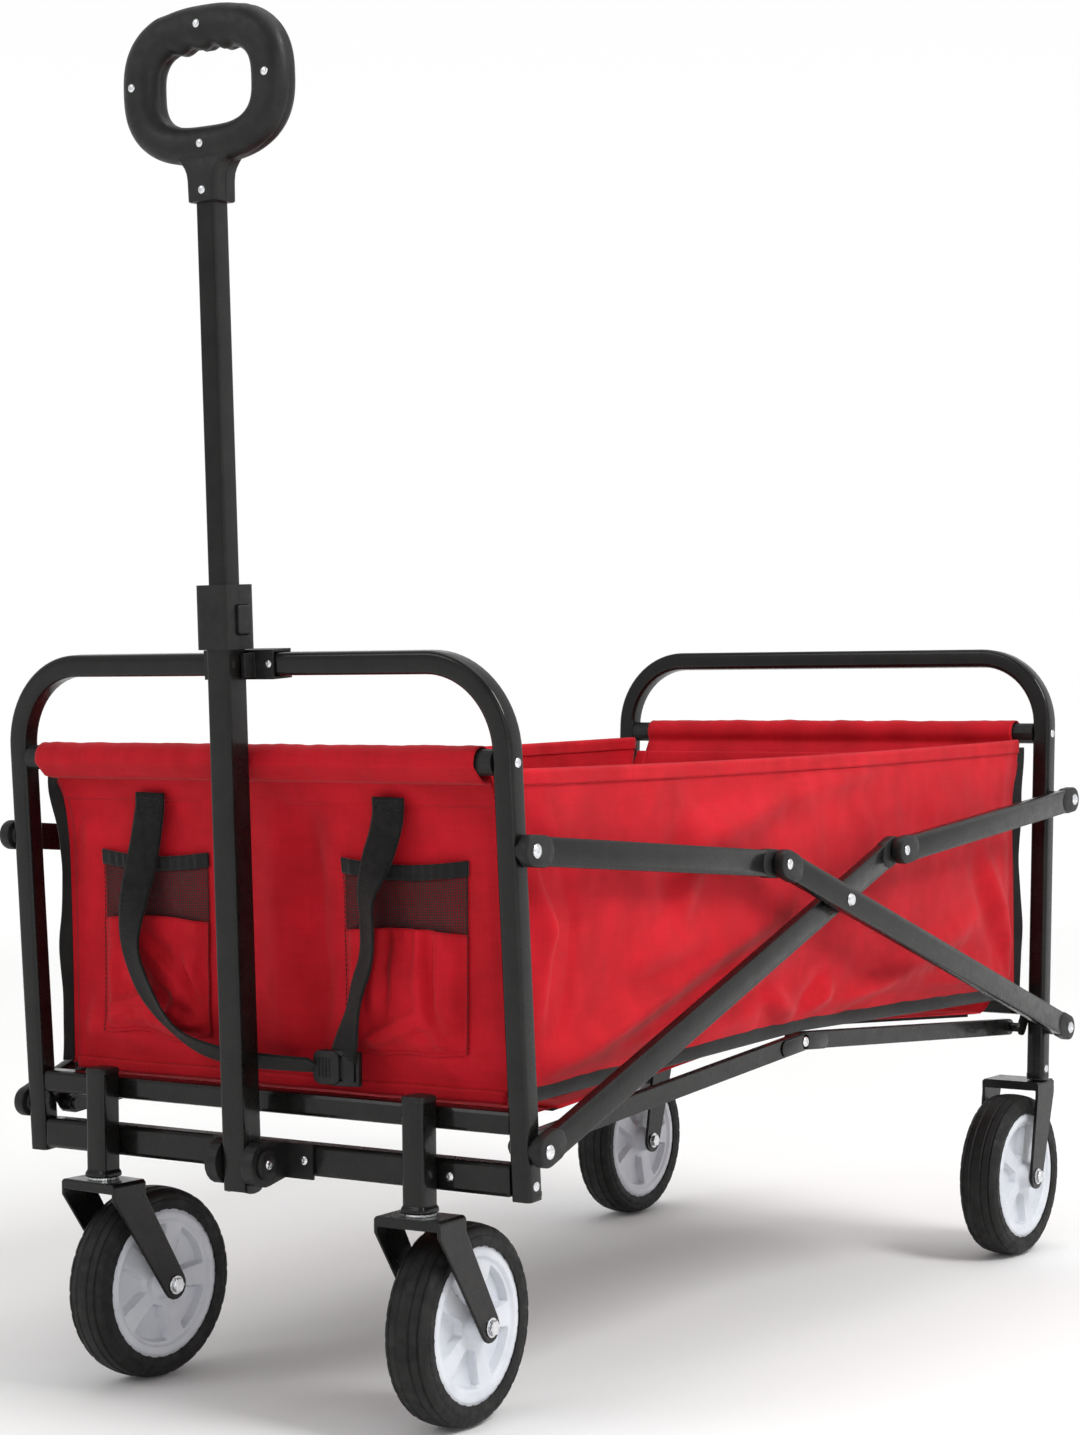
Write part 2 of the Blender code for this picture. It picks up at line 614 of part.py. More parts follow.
def rear_wheel(side, mats):
    x = REAR_FORK_X if side == "left" else -REAR_FORK_X
    y = frame_y(1, FORK_TOP_Z)
    fork(f"rear_{side}_fork", (x, y), REAR_TRAIL, 0.0, mats, spigot=False)
    wheel(f"rear_{side}", (x, y + REAR_TRAIL, WHEEL_R), 0.0, mats)


# ---- handle -------------------------------------------------------------------------
def handle_bracket(mats):
    """Plate on the cross bar with two round ears that hold the handle's pivot bolt."""
    plate_back = -HALF_LENGTH - TUBE / 2 - GAP - HANDLE_Y
    plate_front = plate_back - PLATE_T
    plate = block((-PLATE_HALF_W, PLATE_HALF_W), (plate_front, plate_back), (-0.0120, 0.0125))
    bracket = place("handle_bracket", plate, mats["plastic"], HANDLE_ORIGIN)
    root = plate_front + PLATE_T / 2
    ear = arc((0, 0), EAR_R, 75, 285, 12) + [(root, -0.0115), (root, 0.0120)]
    for side in ("left", "right"):
        bm = prism("x", *EAR_X, ear)
        bm = bm if side == "left" else mirrored(bm)
        combine(bracket, guide(f"tool_bracket_{side}_ear", bm, bracket, mats["zinc"]), "UNION")
    bore = rod("x", -CUTTER, CUTTER, PIVOT_BORE_R)
    combine(bracket, guide("tool_bracket_bore", bore, bracket, mats["zinc"]))
    head = EAR_X[1] + GAP
    bolt = both_ways([(head + 0.003, 0), (head + 0.003, PIVOT_HEAD_R - 0.0012),
                      (head + 0.002, PIVOT_HEAD_R), (head, PIVOT_HEAD_R), (head, PIVOT_BOLT_R)])
    place("handle_pivot_bolt", turned("x", bolt, PIN_SIDES), mats["zinc"], HANDLE_ORIGIN)


def handle_clip(mats):
    """Snap clip on the front top rail, with two fingers beside the handle tube."""
    origin = (0, -HALF_LENGTH, REF_Z)
    z = frame_height(TOP_Z)
    near, far = CLIP_HALF_IN, CLIP_HALF_IN + CLIP_WALL
    shell = [(far, z + CLIP_SLOT), (far, z + far), (-far, z + far), (-far, z - far),
             (far, z - far), (far, z - CLIP_SLOT), (near, z - CLIP_SLOT), (near, z - near),
             (-near, z - near), (-near, z + near), (near, z + near), (near, z + CLIP_SLOT)]
    clip = place("handle_clip", prism("x", -CLIP_HALF_W, CLIP_HALF_W, shell), mats["plastic"],
                 origin, frame_lean(-1))
    for side, sign in (("left", 1), ("right", -1)):
        x = sorted(sign * edge for edge in FINGER_X)
        finger = block(x, (FINGER_TIP, CLIP_WALL / 2 - far), (z - FINGER_HALF_H, z + FINGER_HALF_H))
        combine(clip, guide(f"tool_clip_{side}_finger", finger, clip, mats["zinc"]), "UNION")


def outer_tube(mats):
    """Lower handle tube. Its lower end is rounded about the pivot, to clear the cross bar."""
    tube = place("handle_outer_tube", square_tube(-CUTTER, OUTER_END, OUTER_W, OUTER_IN_W, 0.003),
                 mats["steel"], HANDLE_ORIGIN, HANDLE_LEAN)
    above = OUTER_END + CUTTER
    tail = arc((0, 0), TAIL_R, 180, 360, 14) + [(TAIL_R, above), (-TAIL_R, above)]
    combine(tube, guide("tool_tube_tail", prism("x", -CUTTER, CUTTER, tail), tube, mats["zinc"]),
            "INTERSECT")
    bore = rod("x", -CUTTER, CUTTER, PIVOT_BORE_R)
    combine(tube, guide("tool_tube_bore", bore, tube, mats["zinc"]))


def collar(mats):
    """Moulded collar on the outer tube's end, with the release button in its left side."""
    body = place("telescope_collar",
                 prism("z", COLLAR_START, COLLAR_END, rounded_rectangle(COLLAR_W, COLLAR_W, 0.005)),
                 mats["plastic"], HANDLE_ORIGIN, HANDLE_LEAN)
    bores = (("wide", OUTER_W + 2 * GAP, COLLAR_START - CUTTER, OUTER_END + GAP),
             ("narrow", OUTER_IN_W, COLLAR_START - CUTTER, COLLAR_END + CUTTER))
    for label, width, low, high in bores:
        bm = prism("z", low, high, rounded_rectangle(width, width, 0.003))
        combine(body, guide(f"tool_collar_{label}", bm, body, mats["zinc"]))
    middle = (COLLAR_START + COLLAR_END) / 2 - BUTTON_DROP
    half_w, half_h = BUTTON_HALF_W + RUN, BUTTON_HALF_H + RUN
    pocket = block(BUTTON_POCKET_X, (-half_w, half_w), (middle - half_h, middle + half_h))
    combine(body, guide("tool_collar_pocket", pocket, body, mats["zinc"]))
    edge = 2 * (BUTTON_X[2] - BUTTON_X[1])
    wide = rounded_rectangle(2 * BUTTON_HALF_W, 2 * BUTTON_HALF_H, 0.002)
    face = rounded_rectangle(2 * BUTTON_HALF_W - edge, 2 * BUTTON_HALF_H - edge, 0.002)
    button = lofted("x", [(x, shifted(outline, 0, middle))
                          for x, outline in zip(BUTTON_X, (wide, wide, face))])
    place("collar_button", button, mats["plastic"], HANDLE_ORIGIN, HANDLE_LEAN)


def grip_loops():
    """Outer edge of the grip and edge of its hand hole, with finger waves, as (X, along) points."""
    outer, hole = [], []
    for i in range(GRIP_STATIONS):
        angle = math.tau * (i + 0.5) / GRIP_STATIONS
        c, s = math.cos(angle), math.sin(angle)
        for loop, half, power, drop in ((outer, GRIP_HALF, GRIP_POWER, 0.0),
                                        (hole, GRIP_HOLE_HALF, GRIP_HOLE_POWER, GRIP_HOLE_DROP)):
            x = half[0] * math.copysign(abs(c) ** (2 / power), c)
            z = half[1] * math.copysign(abs(s) ** (2 / power), s) + GRIP_CENTRE - drop
            loop.append([x, z])
        x = hole[-1][0]
        if s > 0 and abs(x) < WAVE_SPAN:
            hole[-1][1] -= WAVE_DEPTH * (1 + math.cos(math.tau * x / WAVE_PITCH))
    return outer, hole


def grip_shell(name, side, mats):
    """Half of the moulded grip: side -1 is the front half, +1 the back half."""
    outer, hole = grip_loops()
    deep = side * GRIP_HALF_DEPTH
    flat = side * GAP / 2
    section = ((0.0, flat), (0.02, 0.35 * deep), (0.16, 0.82 * deep), (0.36, deep),
               (0.64, deep), (0.84, 0.82 * deep), (0.98, 0.35 * deep), (1.0, flat))
    bm = bmesh.new()
    rings = []
    for (xo, zo), (xi, zi) in zip(outer, hole):
        ring = [bm.verts.new((xi + (xo - xi) * t, y, zi + (zo - zi) * t)) for t, y in section]
        rings.append(ring)
    for low, high in zip(rings, rings[1:] + rings[:1]):
        ring_faces(bm, low, high)
    shell = place(name, finished(bm), mats["plastic"], HANDLE_ORIGIN, HANDLE_LEAN)
    half = NECK_W / 2
    neck_top = GRIP_CENTRE - GRIP_HALF[1] + NECK_FILLET
    fillet = arc((half + NECK_FILLET, NECK_START + NECK_STRAIGHT), NECK_FILLET, 180, 125, 3)
    flank = [(half, NECK_START)] + fillet + [(NECK_TOP_HALF_W, neck_top)]
    profile = flank + [(-x, z) for x, z in flank[::-1]]
    neck = prism("y", *sorted((flat, deep * 0.985)), profile)
    combine(shell, guide(f"tool_{name}_neck", neck, shell, mats["zinc"]), "UNION")
    width = INNER_W + 2 * GAP
    channel = prism("z", NECK_START - CUTTER, NECK_START + NECK_TUBE_DEPTH + GAP,
                    rounded_rectangle(width, width, 0.0026))
    combine(shell, guide(f"tool_{name}_channel", channel, shell, mats["zinc"]))


def inner_tube(mats):
    place("handle_inner_tube",
          square_tube(INNER_START, NECK_START + NECK_TUBE_DEPTH, INNER_W, INNER_IN_W, 0.0025),
          mats["steel"], HANDLE_ORIGIN, HANDLE_LEAN)


# ---- straps -------------------------------------------------------------------------
def strap(name, route, mats):
    """Webbing strap, its flat face to the front."""
    section = [(-STRAP_W / 2, -STRAP_T / 2), (STRAP_W / 2, -STRAP_T / 2),
               (STRAP_W / 2, STRAP_T / 2), (-STRAP_W / 2, STRAP_T / 2)]
    bm = swept([(x, -STRAP_TOP_SLOPE * max(0, z - STRAP_BEND_Z), z) for x, z in route],
               (0, 1, 0), section)
    place(name, bm, mats["webbing"], (0, STRAP_PLANE_Y, 0))


def strap_buckle(mats):
    outline = rounded_rectangle(*BUCKLE_SIZE, 0.006)
    face = [(u * 0.88, v * 0.85) for u, v in outline]
    bm = lofted("y", [(-0.004, face), (-0.002, outline), (0.002, outline), (0.004, face)])
    place("strap_buckle", bm, mats["plastic"], (BUCKLE_PLACE[0], STRAP_PLANE_Y, BUCKLE_PLACE[1]))


# ---- build --------------------------------------------------------------------------
def build():
    clear_scene()
    mats = make_materials()
    end_frame("front_frame_tube", -1, FRONT_FOOT_Z, INNER_LAYER_X, mats)
    end_frame("rear_frame_tube", 1, REAR_FOOT_Z, OUTER_LAYER_X, mats)
    front_cross_bar(mats)
    for label, end, rail_x, wall_half_w in (("front", -1, FRONT_RAIL_X, BAG_FRONT_HALF_W),
                                            ("rear", 1, REAR_RAIL_X, BAG_REAR_HALF_W)):
        floor_bar(f"{label}_floor_bar", end, rail_x, mats)
        bag_rod(f"{label}_bag_rod", end, mats)
        bag_end_wall(f"bag_{label}_wall", end, wall_half_w, mats)
        bore = bore_tool(f"{label}_rail", end * RAIL_PIVOT_Y, RAIL_PIVOT_Z, mats)
        floor_half(label, end, rail_x, bore, mats)
    for side in ("left", "right"):
        bag_side(side, mats)
        front_caster(side, mats)
        rear_wheel(side, mats)
    side_linkage(mats)
    handle_bracket(mats)
    handle_clip(mats)
    outer_tube(mats)
    collar(mats)
    inner_tube(mats)
    grip_shell("grip_front_shell", -1, mats)
    grip_shell("grip_back_shell", 1, mats)
    strap("left_strap", LEFT_ROUTE, mats)
    strap("right_strap", RIGHT_ROUTE, mats)
    strap_buckle(mats)


build()
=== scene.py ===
"""Visual model of the folding wagon: cloth, wheels, fittings, materials, studio and camera.

Metres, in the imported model's frame. The front is at -Y and +X is the wagon's own left. Heights
and widths are from the ground and the middle; `back` is the distance behind the linkage's middle.
"""

import json
import math
from itertools import accumulate

import bmesh
import bpy
from mathutils import Matrix, Vector, noise


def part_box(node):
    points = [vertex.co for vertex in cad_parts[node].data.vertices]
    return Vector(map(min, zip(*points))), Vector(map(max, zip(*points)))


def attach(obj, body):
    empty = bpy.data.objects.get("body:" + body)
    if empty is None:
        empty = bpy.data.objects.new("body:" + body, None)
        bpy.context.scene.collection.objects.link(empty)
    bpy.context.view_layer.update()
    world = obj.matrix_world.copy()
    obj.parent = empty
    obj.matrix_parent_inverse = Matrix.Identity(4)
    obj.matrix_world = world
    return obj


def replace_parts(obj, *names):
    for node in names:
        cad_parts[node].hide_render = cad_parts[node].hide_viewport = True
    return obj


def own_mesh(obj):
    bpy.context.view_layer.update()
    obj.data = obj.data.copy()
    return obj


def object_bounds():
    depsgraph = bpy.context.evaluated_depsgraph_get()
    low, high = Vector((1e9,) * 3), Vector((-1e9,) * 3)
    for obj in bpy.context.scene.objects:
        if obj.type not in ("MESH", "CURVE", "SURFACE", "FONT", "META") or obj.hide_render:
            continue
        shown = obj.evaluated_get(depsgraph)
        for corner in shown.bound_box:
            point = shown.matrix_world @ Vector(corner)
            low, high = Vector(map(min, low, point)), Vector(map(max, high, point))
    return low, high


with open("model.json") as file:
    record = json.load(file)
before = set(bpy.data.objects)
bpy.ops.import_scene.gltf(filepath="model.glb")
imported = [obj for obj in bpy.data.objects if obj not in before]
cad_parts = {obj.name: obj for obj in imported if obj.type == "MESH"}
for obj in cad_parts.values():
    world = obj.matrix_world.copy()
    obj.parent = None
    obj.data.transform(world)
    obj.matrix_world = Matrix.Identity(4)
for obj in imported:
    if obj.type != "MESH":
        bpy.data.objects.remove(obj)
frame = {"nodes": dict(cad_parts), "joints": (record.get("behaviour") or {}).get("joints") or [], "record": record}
CAD_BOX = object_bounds()
NODES = frame["nodes"]


def box_centre(node):
    low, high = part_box(node)
    return (low + high) / 2


MID_Y = box_centre("left_centre_rivet").y


def P(x, back, z):
    """A point from its distance behind the linkage's middle."""
    return Vector((x, back + MID_Y, z))


# ---- sizes ----------------------------------------------------------------------------
JOINTS = {joint["name"]: joint for joint in frame["joints"]}
AHEAD = Vector((0, -1, 0))
POST_X = 0.2175
TUBE_W = 0.016
TOP_Z = 0.525
BEND_R = 0.060
REF_Z = 0.180             # where the leaning frames are HALF_LENGTH from the middle
HALF_LENGTH = 0.4015
LEAN = math.atan(0.06)
FOOT_Z = {-1: 0.166, 1: 0.1525}
STUD_Z = (0.200, 0.400)
ROD_Z = 0.458
SLEEVE_R = 0.0108
WALL_BACK = 0.388
WALL_BOTTOM = 0.2295
FRONT_HALF = 0.195        # half widths of the two end walls
REAR_HALF = 0.1885
FRONT_SEED = 1.7
SIDE_X = 0.2005
SIDE_TOP = 0.4515
RAIL_SPACE = 0.0055       # side cloth's step out past the floor rails, which swing up inside it
CLOTH_T = 0.0009
STITCH_PITCH = 0.0034
STITCH_SIZE = (0.0024, 0.00055, 0.0004)      # length, width, height
INNER_LAYER = 0.229       # inner faces of the side bars, which lie in two layers
OUTER_LAYER = 0.239
BAR_R = 0.010
BAR_T = 0.008
KNEE_REACH = 0.1001
CAP_LENGTH = 0.011


def joint_at(name):
    return Vector(JOINTS[name]["pos_m"])


def smooth_step(t):
    t = min(1.0, max(0.0, t))
    return t * t * (3 - 2 * t)


def hump(t):
    """Up from 0 to 1 and back, for t from 0 to 1."""
    return math.sin(math.pi * t)


def ripple(height, *at):
    """Uneven height at a place, the same each run."""
    return height * noise.noise(Vector(at))


# ---- materials ------------------------------------------------------------------------
class Nodes:
    """A material's node tree, with short ways to add and join nodes."""

    def __init__(self, name, roughness, **sockets):
        self.mat = bpy.data.materials.new(name)
        self.mat.use_nodes = True
        self.tree = self.mat.node_tree
        self.shader = self.tree.nodes["Principled BSDF"]
        for key, value in {"Roughness": roughness, **sockets}.items():
            self.shader.inputs[key.replace("_", " ")].default_value = value

    def add(self, kind, inputs=(), **settings):
        node = self.tree.nodes.new(kind)
        for key, value in settings.items():
            setattr(node, key, value)
        for key, value in dict(inputs).items():
            if isinstance(value, bpy.types.NodeSocket):
                self.tree.links.new(value, node.inputs[key])
            else:
                node.inputs[key].default_value = value
        return node

    def link(self, source, socket):
        self.tree.links.new(source, self.shader.inputs[socket])

    def place(self, scale, source="Object", stretch=(1, 1, 1)):
        coords = self.add("ShaderNodeTexCoord")
        size = [scale * s for s in stretch]
        return self.add("ShaderNodeMapping", {"Vector": coords.outputs[source], "Scale": size}).outputs[0]

    def noise(self, scale, detail=2.0, source="Object", stretch=(1, 1, 1)):
        return self.add("ShaderNodeTexNoise", {"Vector": self.place(scale, source, stretch), "Scale": 1.0,
                                               "Detail": detail, "Roughness": 0.55}).outputs["Fac"]

    def waves(self, pitch, direction):
        """Even bands across the cloth, from its UVs in metres. The texture turns 20 radians a unit."""
        return self.add("ShaderNodeTexWave", {"Vector": self.place(1.0, "UV"), "Scale": math.tau / 20 / pitch,
                                              "Distortion": 0.0}, bands_direction=direction).outputs["Fac"]

    def math(self, operation, a, b):
        return self.add("ShaderNodeMath", {0: a, 1: b}, operation=operation).outputs[0]

    def span(self, value, low, high, start=0.35, stop=0.65):
        return self.add("ShaderNodeMapRange", {"Value": value, "From Min": start, "From Max": stop,
                                               "To Min": low, "To Max": high}).outputs[0]

    def blend_colors(self, value, first, second, start=0.35, stop=0.65):
        ramp = self.add("ShaderNodeValToRGB", {"Fac": value})
        for element, place, color in zip(ramp.color_ramp.elements, (start, stop), (first, second)):
            element.position = place
            element.color = (*color, 1.0)
        self.link(ramp.outputs["Color"], "Base Color")

    def bump(self, *layers):
        """Layers are (height, strength, distance), the finest last."""
        normal = None
        for height, strength, distance in layers:
            inputs = {"Height": height, "Strength": strength, "Distance": distance}
            if normal is not None:
                inputs["Normal"] = normal
            normal = self.add("ShaderNodeBump", inputs).outputs["Normal"]
        self.link(normal, "Normal")


def plain_finish(name, roughness, tone, dark, light, gloss, bumps, **sockets):
    """Uneven colour and gloss over fine bumps. Each starts with its noise's scale and detail; gloss adds
    its least and most roughness, and a bump its strength and distance."""
    m = Nodes(name, roughness, **sockets)
    m.blend_colors(m.noise(*tone), dark, light)
    m.link(m.span(m.noise(*gloss[:2]), *gloss[2:]), "Roughness")
    m.bump(*[(m.noise(*layer[:2]), *layer[2:]) for layer in bumps])
    return m.mat


def powder_coat():
    dark, light = (0.0036, 0.0034, 0.0032), (0.0072, 0.0068, 0.0064)
    return plain_finish("black_powder_coat", 0.30, (45, 4), dark, light,
                        (120, 3, 0.24, 0.38), ((28, 2, 0.05, 0.0006), (1500, 2, 0.10, 0.00012)),
                        Specular_IOR_Level=0.14, Coat_Weight=0.30, Coat_Roughness=0.10)


def moulded_plastic():
    return plain_finish("black_moulded_plastic", 0.46, (60, 4), (0.005, 0.005, 0.005), (0.011, 0.011, 0.0105),
                        (200, 3, 0.40, 0.54), ((90, 2, 0.06, 0.0005), (2400, 3, 0.32, 0.00018)),
                        Specular_IOR_Level=0.30)


def zinc_plate():
    return plain_finish("zinc_plate", 0.26, (220, 4), (0.62, 0.63, 0.65), (0.80, 0.81, 0.83),
                        (500, 3, 0.18, 0.36), ((900, 3, 0.12, 0.0001),), Metallic=1.0)


def tyre_rubber():
    return plain_finish("tyre_rubber", 0.62, (70, 5), (0.0050, 0.0050, 0.0048), (0.0130, 0.0128, 0.0122),
                        (160, 4, 0.52, 0.74), ((120, 3, 0.18, 0.0008), (1300, 3, 0.25, 0.0002)),
                        Specular_IOR_Level=0.30)


def hub_plastic():
    return plain_finish("white_hub_plastic", 0.36, (40, 3), (0.58, 0.60, 0.65), (0.66, 0.68, 0.72),
                        (150, 3, 0.30, 0.44), ((60, 2, 0.05, 0.0006), (1800, 2, 0.08, 0.0001)))


def woven_cloth(name, dark, light, pitch, roughness, sheen, tint):
    m = Nodes(name, roughness, Sheen_Weight=sheen, Sheen_Roughness=0.45, Sheen_Tint=tint,
              Specular_IOR_Level=0.20)
    streaks = m.math("MULTIPLY", m.noise(420, 2, "UV", (0.06, 1, 1)), m.noise(420, 2, "UV", (1, 0.06, 1)))
    tone = m.math("ADD", m.noise(26, 4), m.math("MULTIPLY", streaks, 0.5))
    m.blend_colors(tone, dark, light, 0.42, 0.82)
    weave = m.math("MULTIPLY", m.waves(pitch, "X"), m.waves(pitch, "Y"))
    m.bump((m.noise(16, 3), 0.22, 0.004), (m.noise(75, 3), 0.16, 0.0011), (weave, 0.28, 0.00016))
    return m.mat


def webbing():
    m = Nodes("black_webbing", 0.78, Sheen_Weight=0.08, Sheen_Roughness=0.4, Specular_IOR_Level=0.2)
    m.blend_colors(m.noise(140, 3), (0.0035, 0.0035, 0.0035), (0.0090, 0.0090, 0.0088))
    ribs = m.math("MULTIPLY", m.waves(0.0017, "Y"), m.waves(0.0011, "X"))
    m.bump((m.noise(60, 2), 0.12, 0.001), (ribs, 0.7, 0.0004))
    return m.mat


def net():
    """Open warp-knit mesh: round holes between black yarns."""
    m = Nodes("pocket_net", 0.7)
    m.blend_colors(m.noise(300, 2), (0.006, 0.006, 0.006), (0.018, 0.016, 0.016))
    cells = m.add("ShaderNodeTexVoronoi", {"Vector": m.place(1.0, "UV"), "Scale": 560.0, "Randomness": 0.12},
                  feature="DISTANCE_TO_EDGE").outputs["Distance"]
    m.link(m.math("LESS_THAN", cells, 0.125), "Alpha")
    m.bump((cells, 0.5, 0.0003),)
    return m.mat


MATS = {
    "steel": powder_coat(),
    "plastic": moulded_plastic(),
    "zinc": zinc_plate(),
    "fabric": woven_cloth("red_woven_polyester", (0.375, 0.0022, 0.0080), (0.520, 0.0050, 0.0150),
                          0.00062, 0.78, 0.10, (1, 0.55, 0.55, 1)),
    "binding": woven_cloth("black_binding_tape", (0.0060, 0.0060, 0.0060), (0.0150, 0.0150, 0.0150),
                           0.0009, 0.80, 0.20, (1, 1, 1, 1)),
    "webbing": webbing(),
    "net": net(),
    "rubber": tyre_rubber(),
    "hub": hub_plastic(),
}
FINISH_OF_SLOT = {"steel": "steel", "plastic": "plastic", "zinc": "zinc", "fabric": "fabric",
                  "board": "binding", "webbing": "webbing", "rubber": "rubber", "hub": "hub"}


def finish_cad_nodes():
    """Gives every CAD node the procedural material of its slot."""
    for part in frame["record"]["subparts"]:
        mesh = NODES[part["node"]].data
        mesh.materials.clear()
        mesh.materials.append(MATS[FINISH_OF_SLOT[part["material_slot"]]])


# ---- piece helpers --------------------------------------------------------------------
def new_object(name, bm, mat, body):
    """Turns a mesh into a smooth object with a material, which rides on a body if one is named."""
    mesh = bpy.data.meshes.new(name)
    bm.to_mesh(mesh)
    bm.free()
    mesh.materials.append(MATS[mat])
    mesh.shade_smooth()
    obj = bpy.data.objects.new(name, mesh)
    bpy.context.scene.collection.objects.link(obj)
    if body:
        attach(obj, body)
    return obj


def piece(name, bm, mat, body, sharp=40.0):
    """A solid piece from a mesh in the row frame, with hard edges past an angle."""
    bmesh.ops.recalc_face_normals(bm, faces=bm.faces)
    obj = new_object(name, bm, mat, body)
    obj.data.set_sharp_from_angle(angle=math.radians(sharp))
    return obj


def modifier(obj, kind, **settings):
    added = obj.modifiers.new(kind.title(), kind)
    for key, value in settings.items():
        setattr(added, key, value)


def arc(centre, radius, start, end, steps):
    points = []
    for i in range(steps + 1):
        a = math.radians(start + (end - start) * i / steps)
        points.append((centre[0] + radius * math.cos(a), centre[1] + radius * math.sin(a)))
    return points


def rounded(width, height, corner, steps=4):
    half_w, half_h = width / 2 - corner, height / 2 - corner
    points = []
    for i, (sx, sy) in enumerate(((1, 1), (-1, 1), (-1, -1), (1, -1))):
        points += arc((sx * half_w, sy * half_h), corner, 90 * i, 90 * i + 90, steps)
    return points


def slot_outline(start, end, radius, steps):
    turn = math.degrees(math.atan2(end[1] - start[1], end[0] - start[0]))
    return arc(start, radius, turn + 90, turn + 270, steps) + arc(end, radius, turn - 90, turn + 90, steps)


def rolled(low, high, edge):
    """Stations from low to high, as (place, inset), that roll both edges of a plate over."""
    return ((low, edge), (low + edge * 0.3, edge * 0.3), (low + edge, 0.0),
            (high - edge, 0.0), (high - edge * 0.3, edge * 0.3), (high, edge))


def rings_to_mesh(bm, rings, closed=False, caps=True):
    """Joins rings of vertices in turn. A ring of one vertex is a tip."""
    pairs = list(zip(rings, rings[1:])) + ([(rings[-1], rings[0])] if closed else [])
    for low, high in pairs:
        for i in range(max(len(low), len(high))):
            places = ((low, i), (low, i + 1), (high, i + 1), (high, i))
            corners = list(dict.fromkeys(ring[k % len(ring)] for ring, k in places))
            if len(corners) > 2:
                bm.faces.new(corners)
    if caps and not closed:
        for ring in (rings[0], rings[-1]):
            if len(ring) > 2:
                bm.faces.new(ring)


def lofted(rings, bm=None):
    bm = bm or bmesh.new()
    rings_to_mesh(bm, [[bm.verts.new(p) for p in ring] for ring in rings])
    return bm


def turned(profile, sides, matrix, bm=None, closed=False, radial=None):
    """Revolves (along, radius) about a matrix's X axis. radial(i, along) is added to the radius at side i."""
    bm = bm or bmesh.new()
    rings = []
    for along, radius in profile:
        if radius < 1e-7:
            rings.append([bm.verts.new(matrix @ Vector((along, 0, 0)))])
            continue
        ring = []
        for i in range(sides):
            a = math.tau * i / sides
            r = radius + (radial(i, along) if radial else 0.0)
            ring.append(bm.verts.new(matrix @ Vector((along, r * math.cos(a), r * math.sin(a)))))
        rings.append(ring)
    rings_to_mesh(bm, rings, closed, caps=False)
    return bm


def swept(path, sideways, section):
    """Sweeps a section along a plane path; section is (across, sideways)."""
    rings = []
    for i, point in enumerate(path):
        along = (path[min(i + 1, len(path) - 1)] - path[max(i - 1, 0)]).normalized()
        across = sideways.cross(along).normalized()
        rings.append([point + across * u + sideways * v for u, v in section])
    return lofted(rings)


def facing(place, normal, up=Vector((0, 0, 1))):
    """A matrix at a place whose X axis is the normal."""
    x = Vector(normal).normalized()
    y = up.cross(x)
    y = y.normalized() if y.length > 1e-4 else Vector((0, 1, 0))
    rows = Matrix((x, y, x.cross(y))).transposed().to_4x4()
    return Matrix.Translation(place) @ rows


def rivet(bm, place, normal, radius=0.0042, height=0.0014):
    """A domed rivet or screw head with a round recess."""
    dome = [(height * math.sin(math.radians(a)), radius * math.cos(math.radians(a))) for a in (0, 25, 50, 68)]
    dimple = [(height * 0.90, radius * 0.30), (height * 0.55, radius * 0.26), (height * 0.55, 0)]
    turned([(-0.0004, radius)] + dome + dimple, 20, facing(place, normal), bm)


def rivets(name, places, body, mat="zinc", **size):
    bm = bmesh.new()
    for place, normal in places:
        rivet(bm, place, normal, **size)
    return piece(name, bm, mat, body)


# ---- tube frames ----------------------------------------------------------------------
def up_frame(end, z):
    """How far back a leaning frame is at a height."""
    return end * (HALF_LENGTH + math.tan(LEAN) * (z - REF_Z))


def frame_tube(label, end):
    """A bent frame tube, with the studs and spacers on its sides that carry the linkage."""
    body, corner = f"{label}_frame", TOP_Z - BEND_R
    path = [(-POST_X, FOOT_Z[end]), (-POST_X, FOOT_Z[end] + 0.012)]
    path += arc((-POST_X + BEND_R, corner), BEND_R, 180, 90, 18)
    path += arc((POST_X - BEND_R, corner), BEND_R, 90, 0, 18)
    path += [(POST_X, FOOT_Z[end] + 0.012), (POST_X, FOOT_Z[end])]
    points = [P(x, up_frame(end, z), z) for x, z in path]
    sideways = Vector((0, math.cos(LEAN), -end * math.sin(LEAN)))
    tube = swept(points, sideways, rounded(TUBE_W, TUBE_W, 0.0034, 5))
    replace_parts(piece(f"{label}_bent_tube", tube, "steel", body), f"{label}_frame_tube")
    heads, spacers = bmesh.new(), bmesh.new()
    post = POST_X + TUBE_W / 2 - 0.0006
    layer = INNER_LAYER if end < 0 else OUTER_LAYER
    out = layer + BAR_T + 0.0004
    for sign in (1, -1):
        for z in STUD_Z:
            turn = facing(P(0, up_frame(end, z), z), (sign, 0, 0))
            turned([(post, 0), (post, 0.0072), (layer - 0.0010, 0.0072), (layer - 0.0006, 0.0066),
                    (layer - 0.0004, 0)], 24, turn, spacers)
            turned([(layer - 0.0004, 0), (layer - 0.0004, 0.0024), (out, 0.0024), (out, 0.0050),
                    (out + 0.0008, 0.0049), (out + 0.0016, 0.0040), (out + 0.0020, 0.0022),
                    (out + 0.0014, 0.0018), (out + 0.0012, 0)], 24, turn, heads)
    piece(f"{label}_frame_stud_heads", heads, "zinc", body)
    piece(f"{label}_frame_spacers", spacers, "plastic", body)


